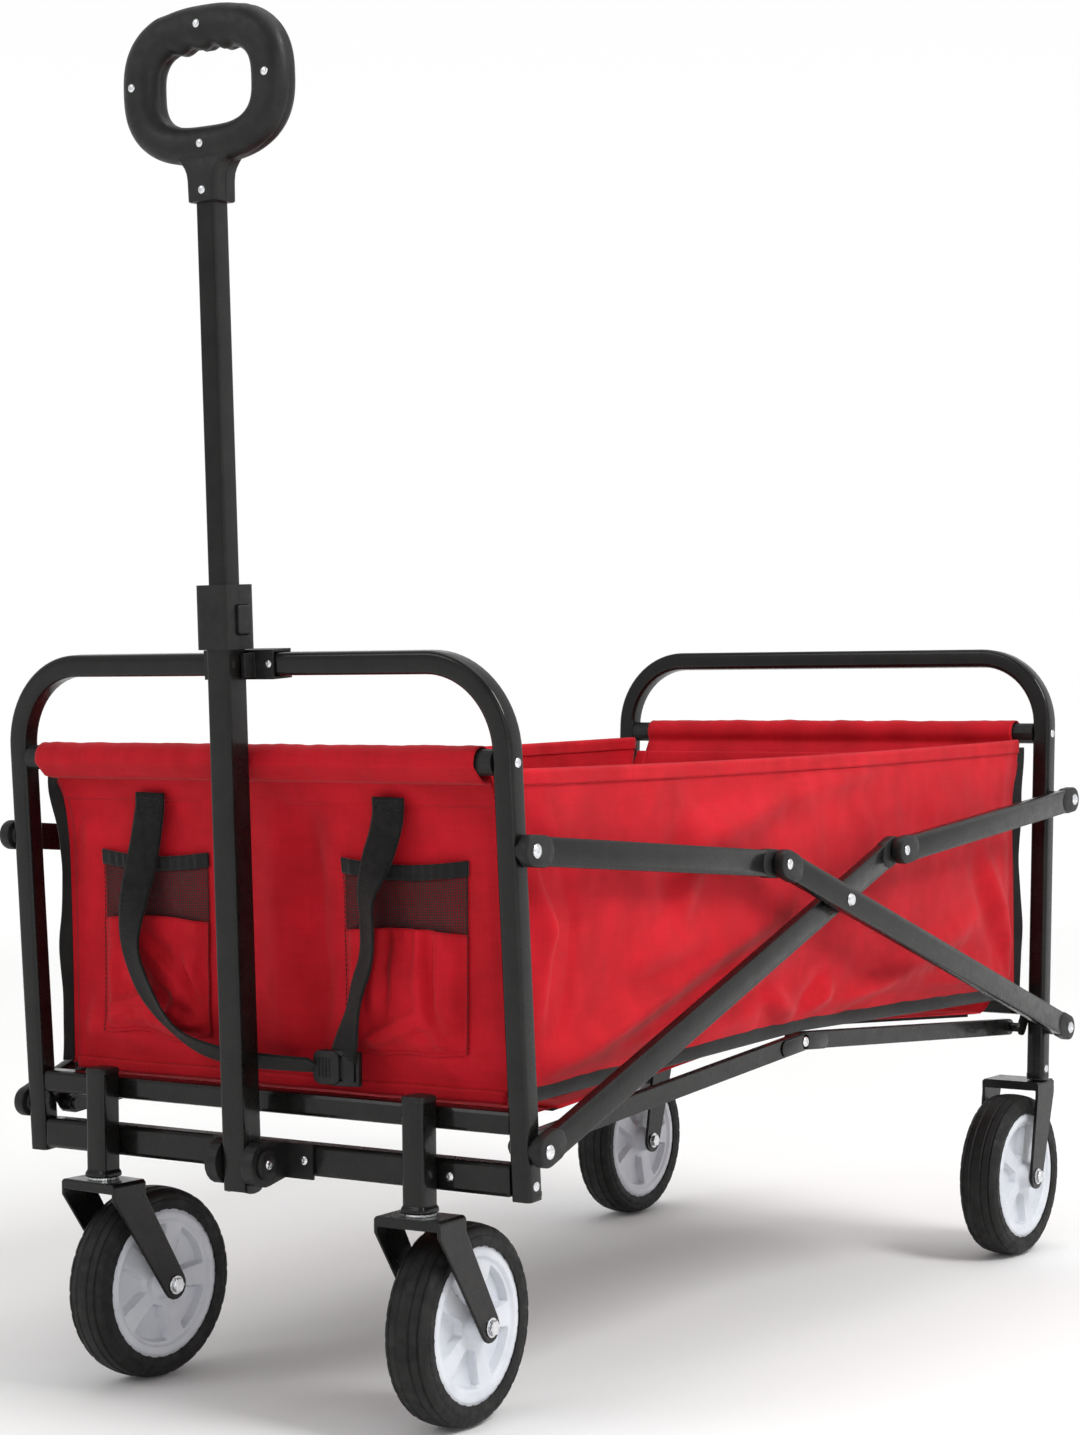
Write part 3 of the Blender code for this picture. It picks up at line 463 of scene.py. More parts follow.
# ---- cloth ----------------------------------------------------------------------------
def sheet_grid(name, columns, rows, point, mat, body=None, thickness=CLOTH_T):
    """A cloth piece from point(u, v), u and v from 0 to 1. Its UVs are in metres."""
    grid = [[point(i / columns, j / rows) for i in range(columns + 1)] for j in range(rows + 1)]
    bm = bmesh.new()
    layer = bm.loops.layers.uv.new("cloth")
    verts = [[bm.verts.new(p) for p in row] for row in grid]
    middles = (grid[rows // 2], [row[columns // 2] for row in grid])
    us, vs = ([0.0, *accumulate((b - a).length for a, b in zip(line, line[1:]))] for line in middles)
    for j in range(rows):
        for i in range(columns):
            corners = ((i, j), (i + 1, j), (i + 1, j + 1), (i, j + 1))
            face = bm.faces.new([verts[b][a] for a, b in corners])
            for loop, (a, b) in zip(face.loops, corners):
                loop[layer].uv = (us[a], vs[b])
    obj = new_object(name, bm, mat, body)
    modifier(obj, "SOLIDIFY", thickness=thickness, offset=0.0)
    obj["flat"] = [us[-1], vs[-1]]
    return obj


def fold(u, v, line):
    """Height of one fold at (u, v): a soft ridge with a valley beside it, fading at both ends."""
    (u0, v0), (u1, v1), width, height = line
    du, dv = u1 - u0, v1 - v0
    length = math.hypot(du, dv)
    t = ((u - u0) * du + (v - v0) * dv) / length ** 2
    if not -0.3 < t < 1.3:
        return 0.0
    off = ((u - u0) * dv - (v - v0) * du) / length / width
    fade = smooth_step((t + 0.3) / 0.6) * smooth_step((1.3 - t) / 0.6)
    return height * fade * (math.exp(-off * off) - 0.6 * math.exp(-(off - 1.7) ** 2))


def folds(u, v, lines):
    return sum(fold(u, v, line) for line in lines)


def rumple(u, v, seed, size, height):
    """Soft uneven cloth."""
    return ripple(height, u / size, v / size, seed)


def edge_mask(u, v, width_u, width_v):
    """0 at a sheet's edges and 1 inside, with u and v from 0 to 1."""
    return smooth_step(min(u, 1 - u) / width_u) * smooth_step(min(v, 1 - v) / width_v)


def along_path(path, t):
    """Point at a share of a polyline's length, as (a, b)."""
    lengths = [math.dist(a, b) for a, b in zip(path, path[1:])]
    left = t * sum(lengths)
    for a, b, length in zip(path, path[1:], lengths):
        if left <= length:
            k = left / length if length else 0.0
            return a[0] + (b[0] - a[0]) * k, a[1] + (b[1] - a[1]) * k
        left -= length
    return path[-1]


def smoothed(path, rounds=2):
    """Corner cutting, which keeps both ends."""
    for _ in range(rounds):
        cut = [path[0]]
        for a, b in zip(path, path[1:]):
            cut.append((a[0] * 0.75 + b[0] * 0.25, a[1] * 0.75 + b[1] * 0.25))
            cut.append((a[0] * 0.25 + b[0] * 0.75, a[1] * 0.25 + b[1] * 0.75))
        path = cut + [path[-1]]
    return path


def stitches(name, path, out, mat, body=None):
    """A row of short thread stitches along a path of points, raised in one direction."""
    bm = bmesh.new()
    length, width, tall = STITCH_SIZE
    run, index = 0.0, 0
    total = sum((b - a).length for a, b in zip(path, path[1:]))
    place = STITCH_PITCH / 2
    while place < total:
        while index < len(path) - 2 and run + (path[index + 1] - path[index]).length < place:
            run += (path[index + 1] - path[index]).length
            index += 1
        along = (path[index + 1] - path[index]).normalized()
        at = path[index] + along * (place - run)
        side = along.cross(out).normalized()
        rings = []
        for t, size in ((-0.5, 0.35), (-0.3, 1.0), (0.3, 1.0), (0.5, 0.35)):
            centre = at + along * (length * t) + out * (tall * (0.1 + 0.5 * size))
            rings.append([centre + side * (width / 2 * size * math.cos(a)) + out * (tall * size * math.sin(a))
                          for a in (math.tau * k / 6 for k in range(6))])
        lofted(rings, bm)
        place += STITCH_PITCH
    return new_object(name, bm, mat, body)


ROD_BACK = up_frame(1, ROD_Z)
WALL_PATH = smoothed([(0.4020, 0.4400), (0.3965, 0.4290), (0.3905, 0.4080), (0.3882, 0.3850),
                      (0.3868, WALL_BOTTOM)])
SLEEVE_PATH = ([(0.3975, 0.4270), (0.4035, 0.4400)] + arc((ROD_BACK, ROD_Z), SLEEVE_R, -140, -378, 14)
               + [(0.4180, 0.4448), (0.4090, 0.4428)])
FRONT_FOLDS = (
    ((0.026, 0.425), (0.034, 0.250), 0.015, -0.0100),
    ((0.165, 0.262), (0.192, 0.236), 0.008, 0.0037),
    ((0.125, 0.253), (0.190, 0.233), 0.010, 0.0030),
    ((-0.185, 0.262), (-0.110, 0.243), 0.009, 0.0032),
    ((-0.170, 0.280), (-0.188, 0.238), 0.010, 0.0030),
    ((-0.060, 0.240), (0.060, 0.243), 0.007, 0.0020),
    ((0.110, 0.425), (0.190, 0.405), 0.012, 0.0022),
    ((0.085, 0.425), (0.045, 0.392), 0.012, 0.0020),
    ((-0.115, 0.425), (-0.185, 0.398), 0.012, 0.0022),
    ((-0.170, 0.430), (-0.192, 0.360), 0.014, 0.0028),
    ((0.178, 0.400), (0.186, 0.290), 0.012, 0.0025),
)
REAR_FOLDS = (
    ((-0.120, 0.420), (-0.060, 0.300), 0.030, 0.0037),
    ((0.060, 0.410), (0.120, 0.280), 0.030, 0.0035),
    ((-0.175, 0.260), (-0.090, 0.245), 0.010, 0.0035),
    ((0.175, 0.262), (0.100, 0.243), 0.010, 0.0035),
    ((-0.020, 0.240), (0.060, 0.246), 0.008, 0.0022),
    ((0.150, 0.425), (0.184, 0.330), 0.014, 0.0028),
    ((-0.150, 0.425), (-0.184, 0.340), 0.014, 0.0028),
)


def wall_out(x, z, lines, seed, half_w):
    """How far a wall's cloth stands out of its plane."""
    mask = smooth_step((z - WALL_BOTTOM) / 0.030) * smooth_step((0.440 - z) / 0.030)
    mask *= smooth_step((half_w - abs(x)) / 0.020)
    low = smooth_step((0.300 - z) / 0.060)
    shape = folds(x, z, lines) + rumple(x, z * 0.7, seed, 0.060, 0.0016)
    shape += rumple(x, z, seed + 5, 0.021, 0.0006 + 0.0008 * low)
    return mask * max(-0.0030, shape + 0.0050 * hump((x / half_w + 1) / 2))


def end_wall(label, end, half_w, lines, seed):
    """One end of the bag: the wall, its sleeve round the rod, seams, edge tape and stitches."""
    body = f"{label}_frame"

    def wall(u, v):
        x = (2 * u - 1) * half_w
        out, z = along_path(WALL_PATH, v)
        return P(x, end * (out + wall_out(x, z, lines, seed, half_w)), z)

    def sleeve(u, v):
        x = (2 * u - 1) * (half_w + 0.002)
        out, z = along_path(SLEEVE_PATH, v)
        radial = Vector((out - ROD_BACK, z - ROD_Z)).normalized()
        swell = ripple(0.0007, x * 38, v * 5, seed) + ripple(0.0005, x * 110, v * 2, seed)
        swell *= smooth_step(min(v, 1 - v) / 0.15)
        return P(x, end * (out + radial.x * swell), z + radial.y * swell)

    main = sheet_grid(f"{label}_wall_cloth", 150, 90, wall, "fabric", body)
    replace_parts(main, f"bag_{label}_wall")
    roll = sheet_grid(f"{label}_sleeve_cloth", 120, 40, sleeve, "fabric", body)
    outward = Vector((0, end, 0.25)).normalized()
    for k, t in enumerate((0.018, 0.050)):
        path = [wall(i / 60, t) + outward * (CLOTH_T / 2) for i in range(61)]
        stitches(f"{label}_seam_stitches_{k + 1}", path, outward, "fabric", body)
    for sign, side in ((1, "left"), (-1, "right")):
        def edge(u, v, sign=sign):
            z = WALL_BOTTOM + 0.002 + v * (0.4440 - WALL_BOTTOM)
            out = WALL_BACK - 0.0015 + 0.0125 * smooth_step((z - 0.395) / 0.05)
            reach = (0.0090 + 0.0014 * math.sin(z * 60 + seed) + ripple(0.0012, z * 30, sign, seed)) * u
            x = (SIDE_X if end < 0 else SIDE_X - 0.001) + reach * 0.55
            return P(sign * x, end * (out + reach * 0.80), z)

        def corner(u, v, sign=sign):
            out, z = along_path(WALL_PATH, v)
            return P(sign * (half_w - 0.001 + (SIDE_X + 0.0018 - half_w) * u), end * (out - 0.0006), z)

        sheet_grid(f"{label}_{side}_edge_tape", 6, 60, edge, "binding", body, 0.0024)
        sheet_grid(f"{label}_{side}_corner_seam", 4, 60, corner, "fabric", body)

    def foot(u, v):
        x = (2 * u - 1) * (half_w - 0.001)
        z = 0.2262 + 0.0085 * v + ripple(0.0006, x * 25, 1.0, seed)
        return P(x, end * (WALL_BACK + 0.0006 + wall_out(x, z, lines, seed, half_w)), z)

    sheet_grid(f"{label}_bottom_hem", 90, 4, foot, "fabric", body, 0.0022)


LEFT_SIDE_FOLDS = (
    ((-0.345, 0.250), (-0.090, 0.322), 0.012, 0.0117),
    ((-0.330, 0.236), (-0.060, 0.296), 0.010, 0.0081),
    ((-0.250, 0.312), (-0.110, 0.330), 0.014, 0.0061),
    ((0.115, 0.439), (-0.060, 0.416), 0.012, 0.0053),
    ((-0.060, 0.416), (-0.165, 0.392), 0.014, 0.0065),
    ((-0.165, 0.392), (-0.200, 0.340), 0.014, 0.0053),
    ((-0.358, 0.395), (-0.338, 0.345), 0.011, -0.0101),
    ((-0.338, 0.345), (-0.352, 0.275), 0.011, -0.0101),
    ((0.315, 0.350), (0.350, 0.286), 0.013, 0.0069),
    ((0.350, 0.286), (0.378, 0.245), 0.010, 0.0069),
    ((0.045, 0.250), (0.160, 0.274), 0.009, 0.0077),
    ((0.150, 0.268), (0.280, 0.300), 0.013, 0.0069),
    ((-0.060, 0.270), (-0.020, 0.246), 0.009, 0.0073),
    ((0.030, 0.268), (-0.005, 0.246), 0.008, 0.0069),
    ((0.090, 0.262), (0.290, 0.250), 0.009, 0.0053),
    ((0.200, 0.400), (0.330, 0.380), 0.018, 0.0041),
)
RIGHT_SIDE_FOLDS = (
    ((-0.330, 0.245), (-0.140, 0.330), 0.013, 0.0088),
    ((-0.300, 0.420), (-0.200, 0.370), 0.015, 0.0052),
    ((-0.200, 0.370), (-0.070, 0.355), 0.016, 0.0045),
    ((0.340, 0.250), (0.180, 0.318), 0.012, 0.0084),
    ((0.355, 0.390), (0.345, 0.290), 0.012, -0.0077),
    ((-0.350, 0.400), (-0.345, 0.300), 0.012, -0.0070),
    ((0.120, 0.418), (0.260, 0.396), 0.014, 0.0045),
    ((-0.050, 0.262), (-0.010, 0.244), 0.009, 0.0060),
    ((0.050, 0.268), (0.012, 0.244), 0.009, 0.0060),
    ((-0.060, 0.300), (0.080, 0.310), 0.016, 0.0045),
)


def side_foot(back):
    """Height of a side wall's lower edge: above the floor rails, which rise to the middle."""
    return WALL_BOTTOM + 0.0105 * (1 - min(1.0, abs(back) / WALL_BACK))


def side_wall(side, sign, lines, seed):
    """One side of the bag, with its top hem, lower edge tape and stitches. It rides on the front frame."""

    def surface(back_share, height_share, lift=0.0):
        reach = WALL_BACK - 0.0015 + 0.0130 * smooth_step((height_share - 0.72) / 0.28)
        back = (2 * back_share - 1) * reach
        low, high = side_foot(back), SIDE_TOP - 0.0028 * hump(back_share)
        z = low + height_share * (high - low)
        ends = smooth_step(min(back_share, 1 - back_share) / 0.05) * smooth_step(height_share / 0.10)
        head = smooth_step((1.02 - height_share) / 0.10)
        out = folds(back, z, lines) + rumple(back * 0.6, z, seed, 0.055, 0.0024)
        out += rumple(back, z, seed + 3, 0.020, 0.0008)
        out += 0.0080 * hump(min(1.0, height_share * 1.05)) * hump(back_share) ** 0.5
        out = RAIL_SPACE + max(-0.0005, min(0.0165, out * head))
        return P(sign * (SIDE_X + out * ends + lift), back, z)

    main = sheet_grid(f"{side}_side_cloth", 260, 80, surface, "fabric")
    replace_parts(main, f"bag_{side}_side")

    def hem(u, v):
        turn = v * 2 - 1
        lift = math.copysign(0.0011, turn) * smooth_step(abs(turn) / 0.2)
        drop = abs(turn) * 0.0105
        edge = surface(u, max(0.0, 1.0 - drop / 0.22), lift + ripple(0.0005, u * 40, v, seed))
        top = surface(u, 1.0).z + (0.0008 - drop if abs(turn) > 0.02 else 0.0012)
        return Vector((edge.x, edge.y, top))

    def foot(u, v):
        p = surface(0.004 + 0.992 * u, 0.0)
        wave = ripple(0.0022, u * 16, 2.0, seed) + ripple(0.0010, u * 60, 3.0, seed)
        out = sign * (0.0004 + 0.0016 * hump(v))
        return p + Vector((out, 0, (0.0105 + wave) * v - 0.0035))

    band = sheet_grid(f"{side}_side_hem", 200, 16, hem, "fabric", None, 0.0008)
    tape = sheet_grid(f"{side}_side_bottom_tape", 160, 6, foot, "binding", None, 0.0020)
    thread = stitches(f"{side}_hem_stitches", [surface(i / 120, 0.956, 0.0019) for i in range(121)],
                      Vector((sign, 0, 0)), "fabric")
    for obj in (main, band, tape, thread):
        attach(obj, "front_frame")
        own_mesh(obj)


RAIL_PIVOT_Z = 0.199
RAIL_MEET_Z = 0.228
FLOOR_SPAN = (0.060, 0.3885)     # along the rails, from their pivots
FLOOR_HALF = 0.1965
GUSSET_HALF = 0.1865


def floor_cover(label, end):
    """Red cloth over one half of the stiff floor, with a stitched border, and a strip to the end wall."""
    pivot = P(0, end * WALL_BACK, RAIL_PIVOT_Z)
    along = Vector((0, -end * WALL_BACK, RAIL_MEET_Z - RAIL_PIVOT_Z)).normalized()
    up = Vector((0, end * along.z, abs(along.y)))

    def surface(u, v, lift=0.0):
        x = (2 * u - 1) * FLOOR_HALF
        far = FLOOR_SPAN[0] + v * (FLOOR_SPAN[1] - FLOOR_SPAN[0])
        swell = edge_mask(u, v, 0.1, 0.06) * (0.0012 + ripple(0.0010, x * 18, far * 18, end * 3.0))
        rim = 0.0014 * (1 - edge_mask(u, v, 0.03, 0.02))
        return pivot + Vector((x, 0, 0)) + along * far + up * (0.0150 + swell - rim + lift)

    body = f"{label}_floor"
    top = sheet_grid(f"{label}_floor_cloth", 60, 60, surface, "fabric", body)
    corners = ((0.04, 0.05), (0.96, 0.05), (0.96, 0.95), (0.04, 0.95), (0.04, 0.05))
    loop = [surface(a + (c - a) * i / 40, b + (d - b) * i / 40, 0.0006)
            for (a, b), (c, d) in zip(corners, corners[1:]) for i in range(40)]
    thread = stitches(f"{label}_floor_stitches", loop + loop[:1], up, "fabric", body)

    def gusset(u, v):
        x = (2 * u - 1) * GUSSET_HALF
        sag = 0.0012 * hump(v) + ripple(0.0006, x * 22, v, end * 2.0)
        return P(x, end * (0.3865 - 0.0605 * v), 0.2300 - 0.0140 * smooth_step(v * 1.6) - sag)

    strip = sheet_grid(f"{label}_floor_gusset", 60, 10, gusset, "fabric", f"{label}_frame")


# ---- rounded edges on CAD shapes --------------------------------------------------------
def softened(node, mat, body, width=0.0009):
    """A copy of a CAD shape with rounded edges, which stands for it."""
    source = NODES[node]
    bm = bmesh.new()
    bm.from_mesh(source.data)
    bm.transform(source.matrix_world)
    bmesh.ops.remove_doubles(bm, verts=bm.verts, dist=0.00001)
    bmesh.ops.dissolve_limit(bm, angle_limit=math.radians(1.5), verts=bm.verts, edges=bm.edges)
    obj = piece(f"{node}_finished", bm, mat, body, sharp=52.0)
    modifier(obj, "BEVEL", width=width, segments=3, limit_method="ANGLE",
             angle_limit=math.radians(32), harden_normals=False)
    modifier(obj, "WEIGHTED_NORMAL", keep_sharp=True)
    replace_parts(obj, node)


def soften_all():
    for side in ("left", "right"):
        softened(f"front_{side}_caster_tube", "steel", "front_frame")
        softened(f"front_{side}_fork", "steel", f"{side}_caster", 0.0011)
        softened(f"rear_{side}_fork", "steel", "rear_frame", 0.0011)
        for label in ("front", "rear"):
            softened(f"{label}_{side}_rail", "steel", f"{label}_floor")
    softened("front_cross_bar", "steel", "front_frame", 0.0022)
    softened("handle_clip", "plastic", "front_frame", 0.0007)
    softened("handle_outer_tube", "steel", "handle_lower", 0.0010)
    softened("telescope_collar", "plastic", "handle_lower", 0.0015)
    softened("handle_inner_tube", "steel", "handle_upper", 0.0008)


# ---- side linkage ---------------------------------------------------------------------
def plate_between(bm, start, end, radius, inner, outer, sign, edge=0.0010):
    """A round-ended flat bar across two points (Y, Z), with rolled edges, from X inner to outer."""
    rings = []
    for x, inset in rolled(inner, outer, edge):
        loop = slot_outline((start.y, start.z), (end.y, end.z), radius - inset, 14)
        rings.append([Vector((sign * x, y, z)) for y, z in loop])
    return lofted(rings, bm)


def side_bar(node, sign, layer, start, end, body):
    """A flat side bar and the two plastic caps on its ends."""
    flat = plate_between(None, start, end, BAR_R, layer, layer + BAR_T, sign)
    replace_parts(piece(f"{node}_finished", flat, "steel", body), node)
    caps = bmesh.new()
    along = (end - start).normalized() * CAP_LENGTH
    for tip, inward in ((start, along), (end, -along)):
        plate_between(caps, tip, tip + inward, BAR_R + 0.0009, layer - 0.0004, layer + BAR_T + 0.0006,
                      sign, 0.0016)
    piece(f"{node}_caps", caps, "plastic", body)


def side_linkage():
    """Scissor bars and links on both sides, their knee rivets, and the hinges of the floor rails."""
    centre, low = joint_at("scissor_centre"), joint_at("fold")
    reach = (centre - low).normalized() * KNEE_REACH
    knees = {"rear": centre + reach, "front": centre + Vector((0, -reach.y, reach.z))}
    bars = (("front", "scissor_bar", INNER_LAYER, "fold", "rear", "scissor_front"),
            ("rear", "scissor_bar", OUTER_LAYER, "rear_lower_pivot", "front", "scissor_rear"),
            ("front", "link", INNER_LAYER, "front_link_pivot", "front", "front_links"),
            ("rear", "link", OUTER_LAYER, "rear_link_pivot", "rear", "rear_links"))
    knee_faces = (("", OUTER_LAYER + BAR_T + 0.0004, 1, {"front": "scissor_rear", "rear": "rear_links"}),
                  ("_inner", INNER_LAYER - 0.0002, -1, {"front": "front_links", "rear": "scissor_front"}))
    hinge = P(0, 0, RAIL_MEET_Z)
    for side, sign in (("left", 1), ("right", -1)):
        for label, kind, layer, pivot, knee, body in bars:
            side_bar(f"{label}_{side}_{kind}", sign, layer, joint_at(pivot), knees[knee], body)
        out = Vector((sign, 0, 0))
        for end, at in (("front", knees["front"]), ("rear", knees["rear"])):
            for suffix, face, way, bodies in knee_faces:
                rivets(f"{side}_{end}_knee_rivet{suffix}", [(Vector((sign * face, at.y, at.z)), out * way)],
                       bodies[end])
        plate = bmesh.new()
        for back in (-0.030, 0.030):
            plate_between(plate, hinge, hinge + Vector((0, back, -abs(back) * 0.075)), 0.0062,
                          0.2057, 0.2068, sign, 0.0004)
        piece(f"{side}_rail_hinge_plate", plate, "steel", "front_floor")
        rivets(f"{side}_rail_hinge_rivet", [(hinge + out * 0.2068, out)], "front_floor")


# ---- wheels -----------------------------------------------------------------------------
TYRE_HALF = ((0.0162, 0.0543), (0.0170, 0.0585), (0.0172, 0.0612), (0.0165, 0.0622), (0.0168, 0.0642),
             (0.0152, 0.0670), (0.0128, 0.0684), (0.0121, 0.0677), (0.0112, 0.0677), (0.0106, 0.0689),
             (0.0062, 0.0697), (0.0053, 0.0690), (0.0044, 0.0690), (0.0037, 0.0699), (0.0, 0.0700))
TYRE_SIDES = 180
HUB_SIDES = 240
SPOKES = 5
HUB_FACE = 0.0138         # half widths of the hub's spokes and boss
BOSS_FACE = 0.0232
HOLLOW_R = (0.0166, 0.0434)
HOLLOW_DEPTH = 0.0058
HUB_STATIONS = (0.0043, 0.0080, 0.0092, 0.0100, 0.0106, 0.0112, 0.0125, 0.0150, 0.0166, 0.0174, 0.0182,
                0.0210, 0.0260, 0.0310, 0.0360, 0.0400, 0.0418, 0.0426, 0.0434, 0.0448, 0.0460, 0.0470,
                0.0480, 0.0512, 0.0524, 0.0534, 0.0543)


def hub_height(r, angle):
    """Half width of the hub at a radius and angle: boss, spokes with hollows between, and rim ring."""
    spoke_gap = math.tau / SPOKES
    off = (angle + spoke_gap / 2) % spoke_gap - spoke_gap / 2
    half_spoke = 0.0054 + 0.10 * (r - 0.012)
    hollow = smooth_step((r - HOLLOW_R[0]) / 0.0016) * smooth_step((HOLLOW_R[1] - r) / 0.0016)
    hollow *= smooth_step((r * math.sin(abs(off)) - half_spoke) / 0.0011)
    x = HUB_FACE - 0.0008 * hump(min(1.0, max(0.0, (r - 0.012) / 0.034))) - HOLLOW_DEPTH * hollow
    x += (BOSS_FACE - HUB_FACE) * smooth_step((0.0116 - r) / 0.0020)
    return x + 0.0022 * smooth_step((r - 0.0455) / 0.0018) - 0.0014 * smooth_step((r - 0.0515) / 0.0022)


def wheel(label, fork_body):
    """Tyre with shoulder notches, five-spoke hub, axle with a washer and nut on each end."""
    body, spin = f"{label}_wheel", JOINTS[f"{label}_wheel_spin"]
    turn = facing(Vector(spin["pos_m"]), Vector(spin["axis"]))
    profile = list(TYRE_HALF) + [(-along, radius) for along, radius in TYRE_HALF[-2::-1]]

    def notch(i, along):
        return -0.0006 if i % 6 == 0 and 0.0122 < abs(along) < 0.0170 else 0.0

    tyre = turned(profile, TYRE_SIDES, turn, radial=notch, closed=True)
    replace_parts(piece(f"{label}_tyre_finished", tyre, "rubber", body), f"{label}_tyre")
    bm = bmesh.new()
    rings = []
    angles = [math.tau * i / HUB_SIDES for i in range(HUB_SIDES)]
    for sign, stations in ((1, HUB_STATIONS), (-1, HUB_STATIONS[::-1])):
        for r in stations:
            places = [(sign * hub_height(r, a), r * math.cos(a), r * math.sin(a)) for a in angles]
            rings.append([bm.verts.new(turn @ Vector(place)) for place in places])
    rings_to_mesh(bm, rings, closed=True)
    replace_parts(piece(f"{label}_hub_finished", bm, "hub", body, sharp=50), f"{label}_wheel_hub")
    axle, bosses = bmesh.new(), bmesh.new()
    turned([(-0.0305, 0), (-0.0305, 0.0036), (0.0305, 0.0036), (0.0305, 0)], 24, turn, axle)
    washer = ((0.0271, 0.0036), (0.0271, 0.0066), (0.0274, 0.0069), (0.0279, 0.0069), (0.0281, 0.0066),
              (0.0281, 0.0036))
    nut = ((0.0281, 0.0036), (0.0281, 0.0054), (0.0285, 0.0057), (0.0301, 0.0057), (0.0306, 0.0052),
           (0.0306, 0.0036))
    spacer = ((0.0235, 0.0040), (0.0235, 0.0078), (0.0242, 0.0078), (0.0242, 0.0040))
    for sign in (1, -1):
        side = turn @ Matrix.Diagonal((sign, 1, 1, 1))
        for outline, sides, mesh in ((washer, 32, axle), (nut, 6, axle), (spacer, 32, bosses)):
            turned(outline, sides, side, mesh, closed=True)
    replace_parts(piece(f"{label}_axle_nuts", axle, "zinc", fork_body, sharp=30), f"{label}_axle_bolt")
    piece(f"{label}_axle_spacers", bosses, "plastic", fork_body)


# ---- handle -----------------------------------------------------------------------------
HANDLE = joint_at("handle_pivot")
HANDLE_UP = Vector(JOINTS["handle_slide"]["axis"]).normalized()
HANDLE_FRONT = Vector((0, -HANDLE_UP.z, HANDLE_UP.y))
GRIP_CENTRE = 0.7454
GRIP_HALF = (0.0725, 0.055)
GRIP_HOLE = (0.042, 0.0265)
GRIP_DEPTH = 0.0125
NECK_DEPTH = 0.0122
GRIP_STATIONS = 168
GRIP_STEPS = 18
GRIP_SCREWS = ((0.001, 0.7850, GRIP_DEPTH), (-0.0590, 0.7478, GRIP_DEPTH), (0.0592, 0.7460, GRIP_DEPTH),
               (0.0006, 0.7040, GRIP_DEPTH), (0.0010, 0.6723, NECK_DEPTH))
NECK = ((0.6644, 0.0120, 0.0112), (0.6650, 0.0126, 0.0120), (0.6790, 0.0128, 0.0122),      # up, half width,
        (0.6840, 0.0136, 0.0121), (0.6880, 0.0156, 0.0118), (0.6915, 0.0186, 0.0113),      # half depth
        (0.6950, 0.0228, 0.0102), (0.6985, 0.0262, 0.0085), (0.7015, 0.0280, 0.0050))


def on_handle(x, forward, along):
    """A point beside the handle: across, in front of its centreline, and up from its pivot."""
    return HANDLE + Vector((x, 0, 0)) + HANDLE_FRONT * forward + HANDLE_UP * along


def oval(half, power, a):
    """A point of a squarish oval round the origin."""
    return [h * math.copysign(abs(c) ** (2 / power), c) for h, c in zip(half, (math.cos(a), math.sin(a)))]


def grip_shell(node, side):
    """Half of the moulded grip, with finger waves inside its top and a flared neck below."""
    rings = []
    for i in range(GRIP_STATIONS):
        a = math.tau * (i + 0.5) / GRIP_STATIONS
        outer, inner = Vector(oval(GRIP_HALF, 2.5, a)), Vector(oval(GRIP_HOLE, 3.2, a))
        inner.y -= 0.002
        if math.sin(a) > 0:
            outer.y -= 0.0012 * smooth_step((0.042 - abs(outer.x)) / 0.012)
            waves = 0.0015 * (1 + math.cos(math.tau * inner.x / 0.019))
            inner.y -= waves * smooth_step((0.0330 - abs(inner.x)) / 0.006)
        section = []
        for k in range(GRIP_STEPS + 1):
            t = 0.012 + 0.976 * (1 - math.cos(math.pi * k / GRIP_STEPS)) / 2
            section.append((t, max(0.0003, GRIP_DEPTH * (1 - abs(2 * t - 1) ** 2.6) ** (1 / 2.2))))
        ring = []
        for t, deep in section + [(0.97, 0.0001), (0.03, 0.0001)]:
            at = inner.lerp(outer, t)
            ring.append(on_handle(at.x, side * deep, at.y + GRIP_CENTRE))
        rings.append(ring)
    bm = bmesh.new()
    rings_to_mesh(bm, [[bm.verts.new(p) for p in ring] for ring in rings], closed=True)
    neck = []
    for along, wide, deep in NECK:
        loop = rounded(2 * wide, 2 * deep, min(0.0036, deep * 0.45), 5)
        neck.append([on_handle(x, side * max(0.0002, y), along) for x, y in loop])
    lofted(neck, bm)
    bmesh.ops.remove_doubles(bm, verts=bm.verts, dist=0.000001)
    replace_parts(piece(f"{node}_finished", bm, "plastic", "handle_upper", sharp=50), node)


def front_screws(name, across, y, z, radius, height):
    """Screws in a forward face of the front frame."""
    rivets(name, [(Vector((x, y, z)), AHEAD) for x in across], "front_frame", radius=radius, height=height)


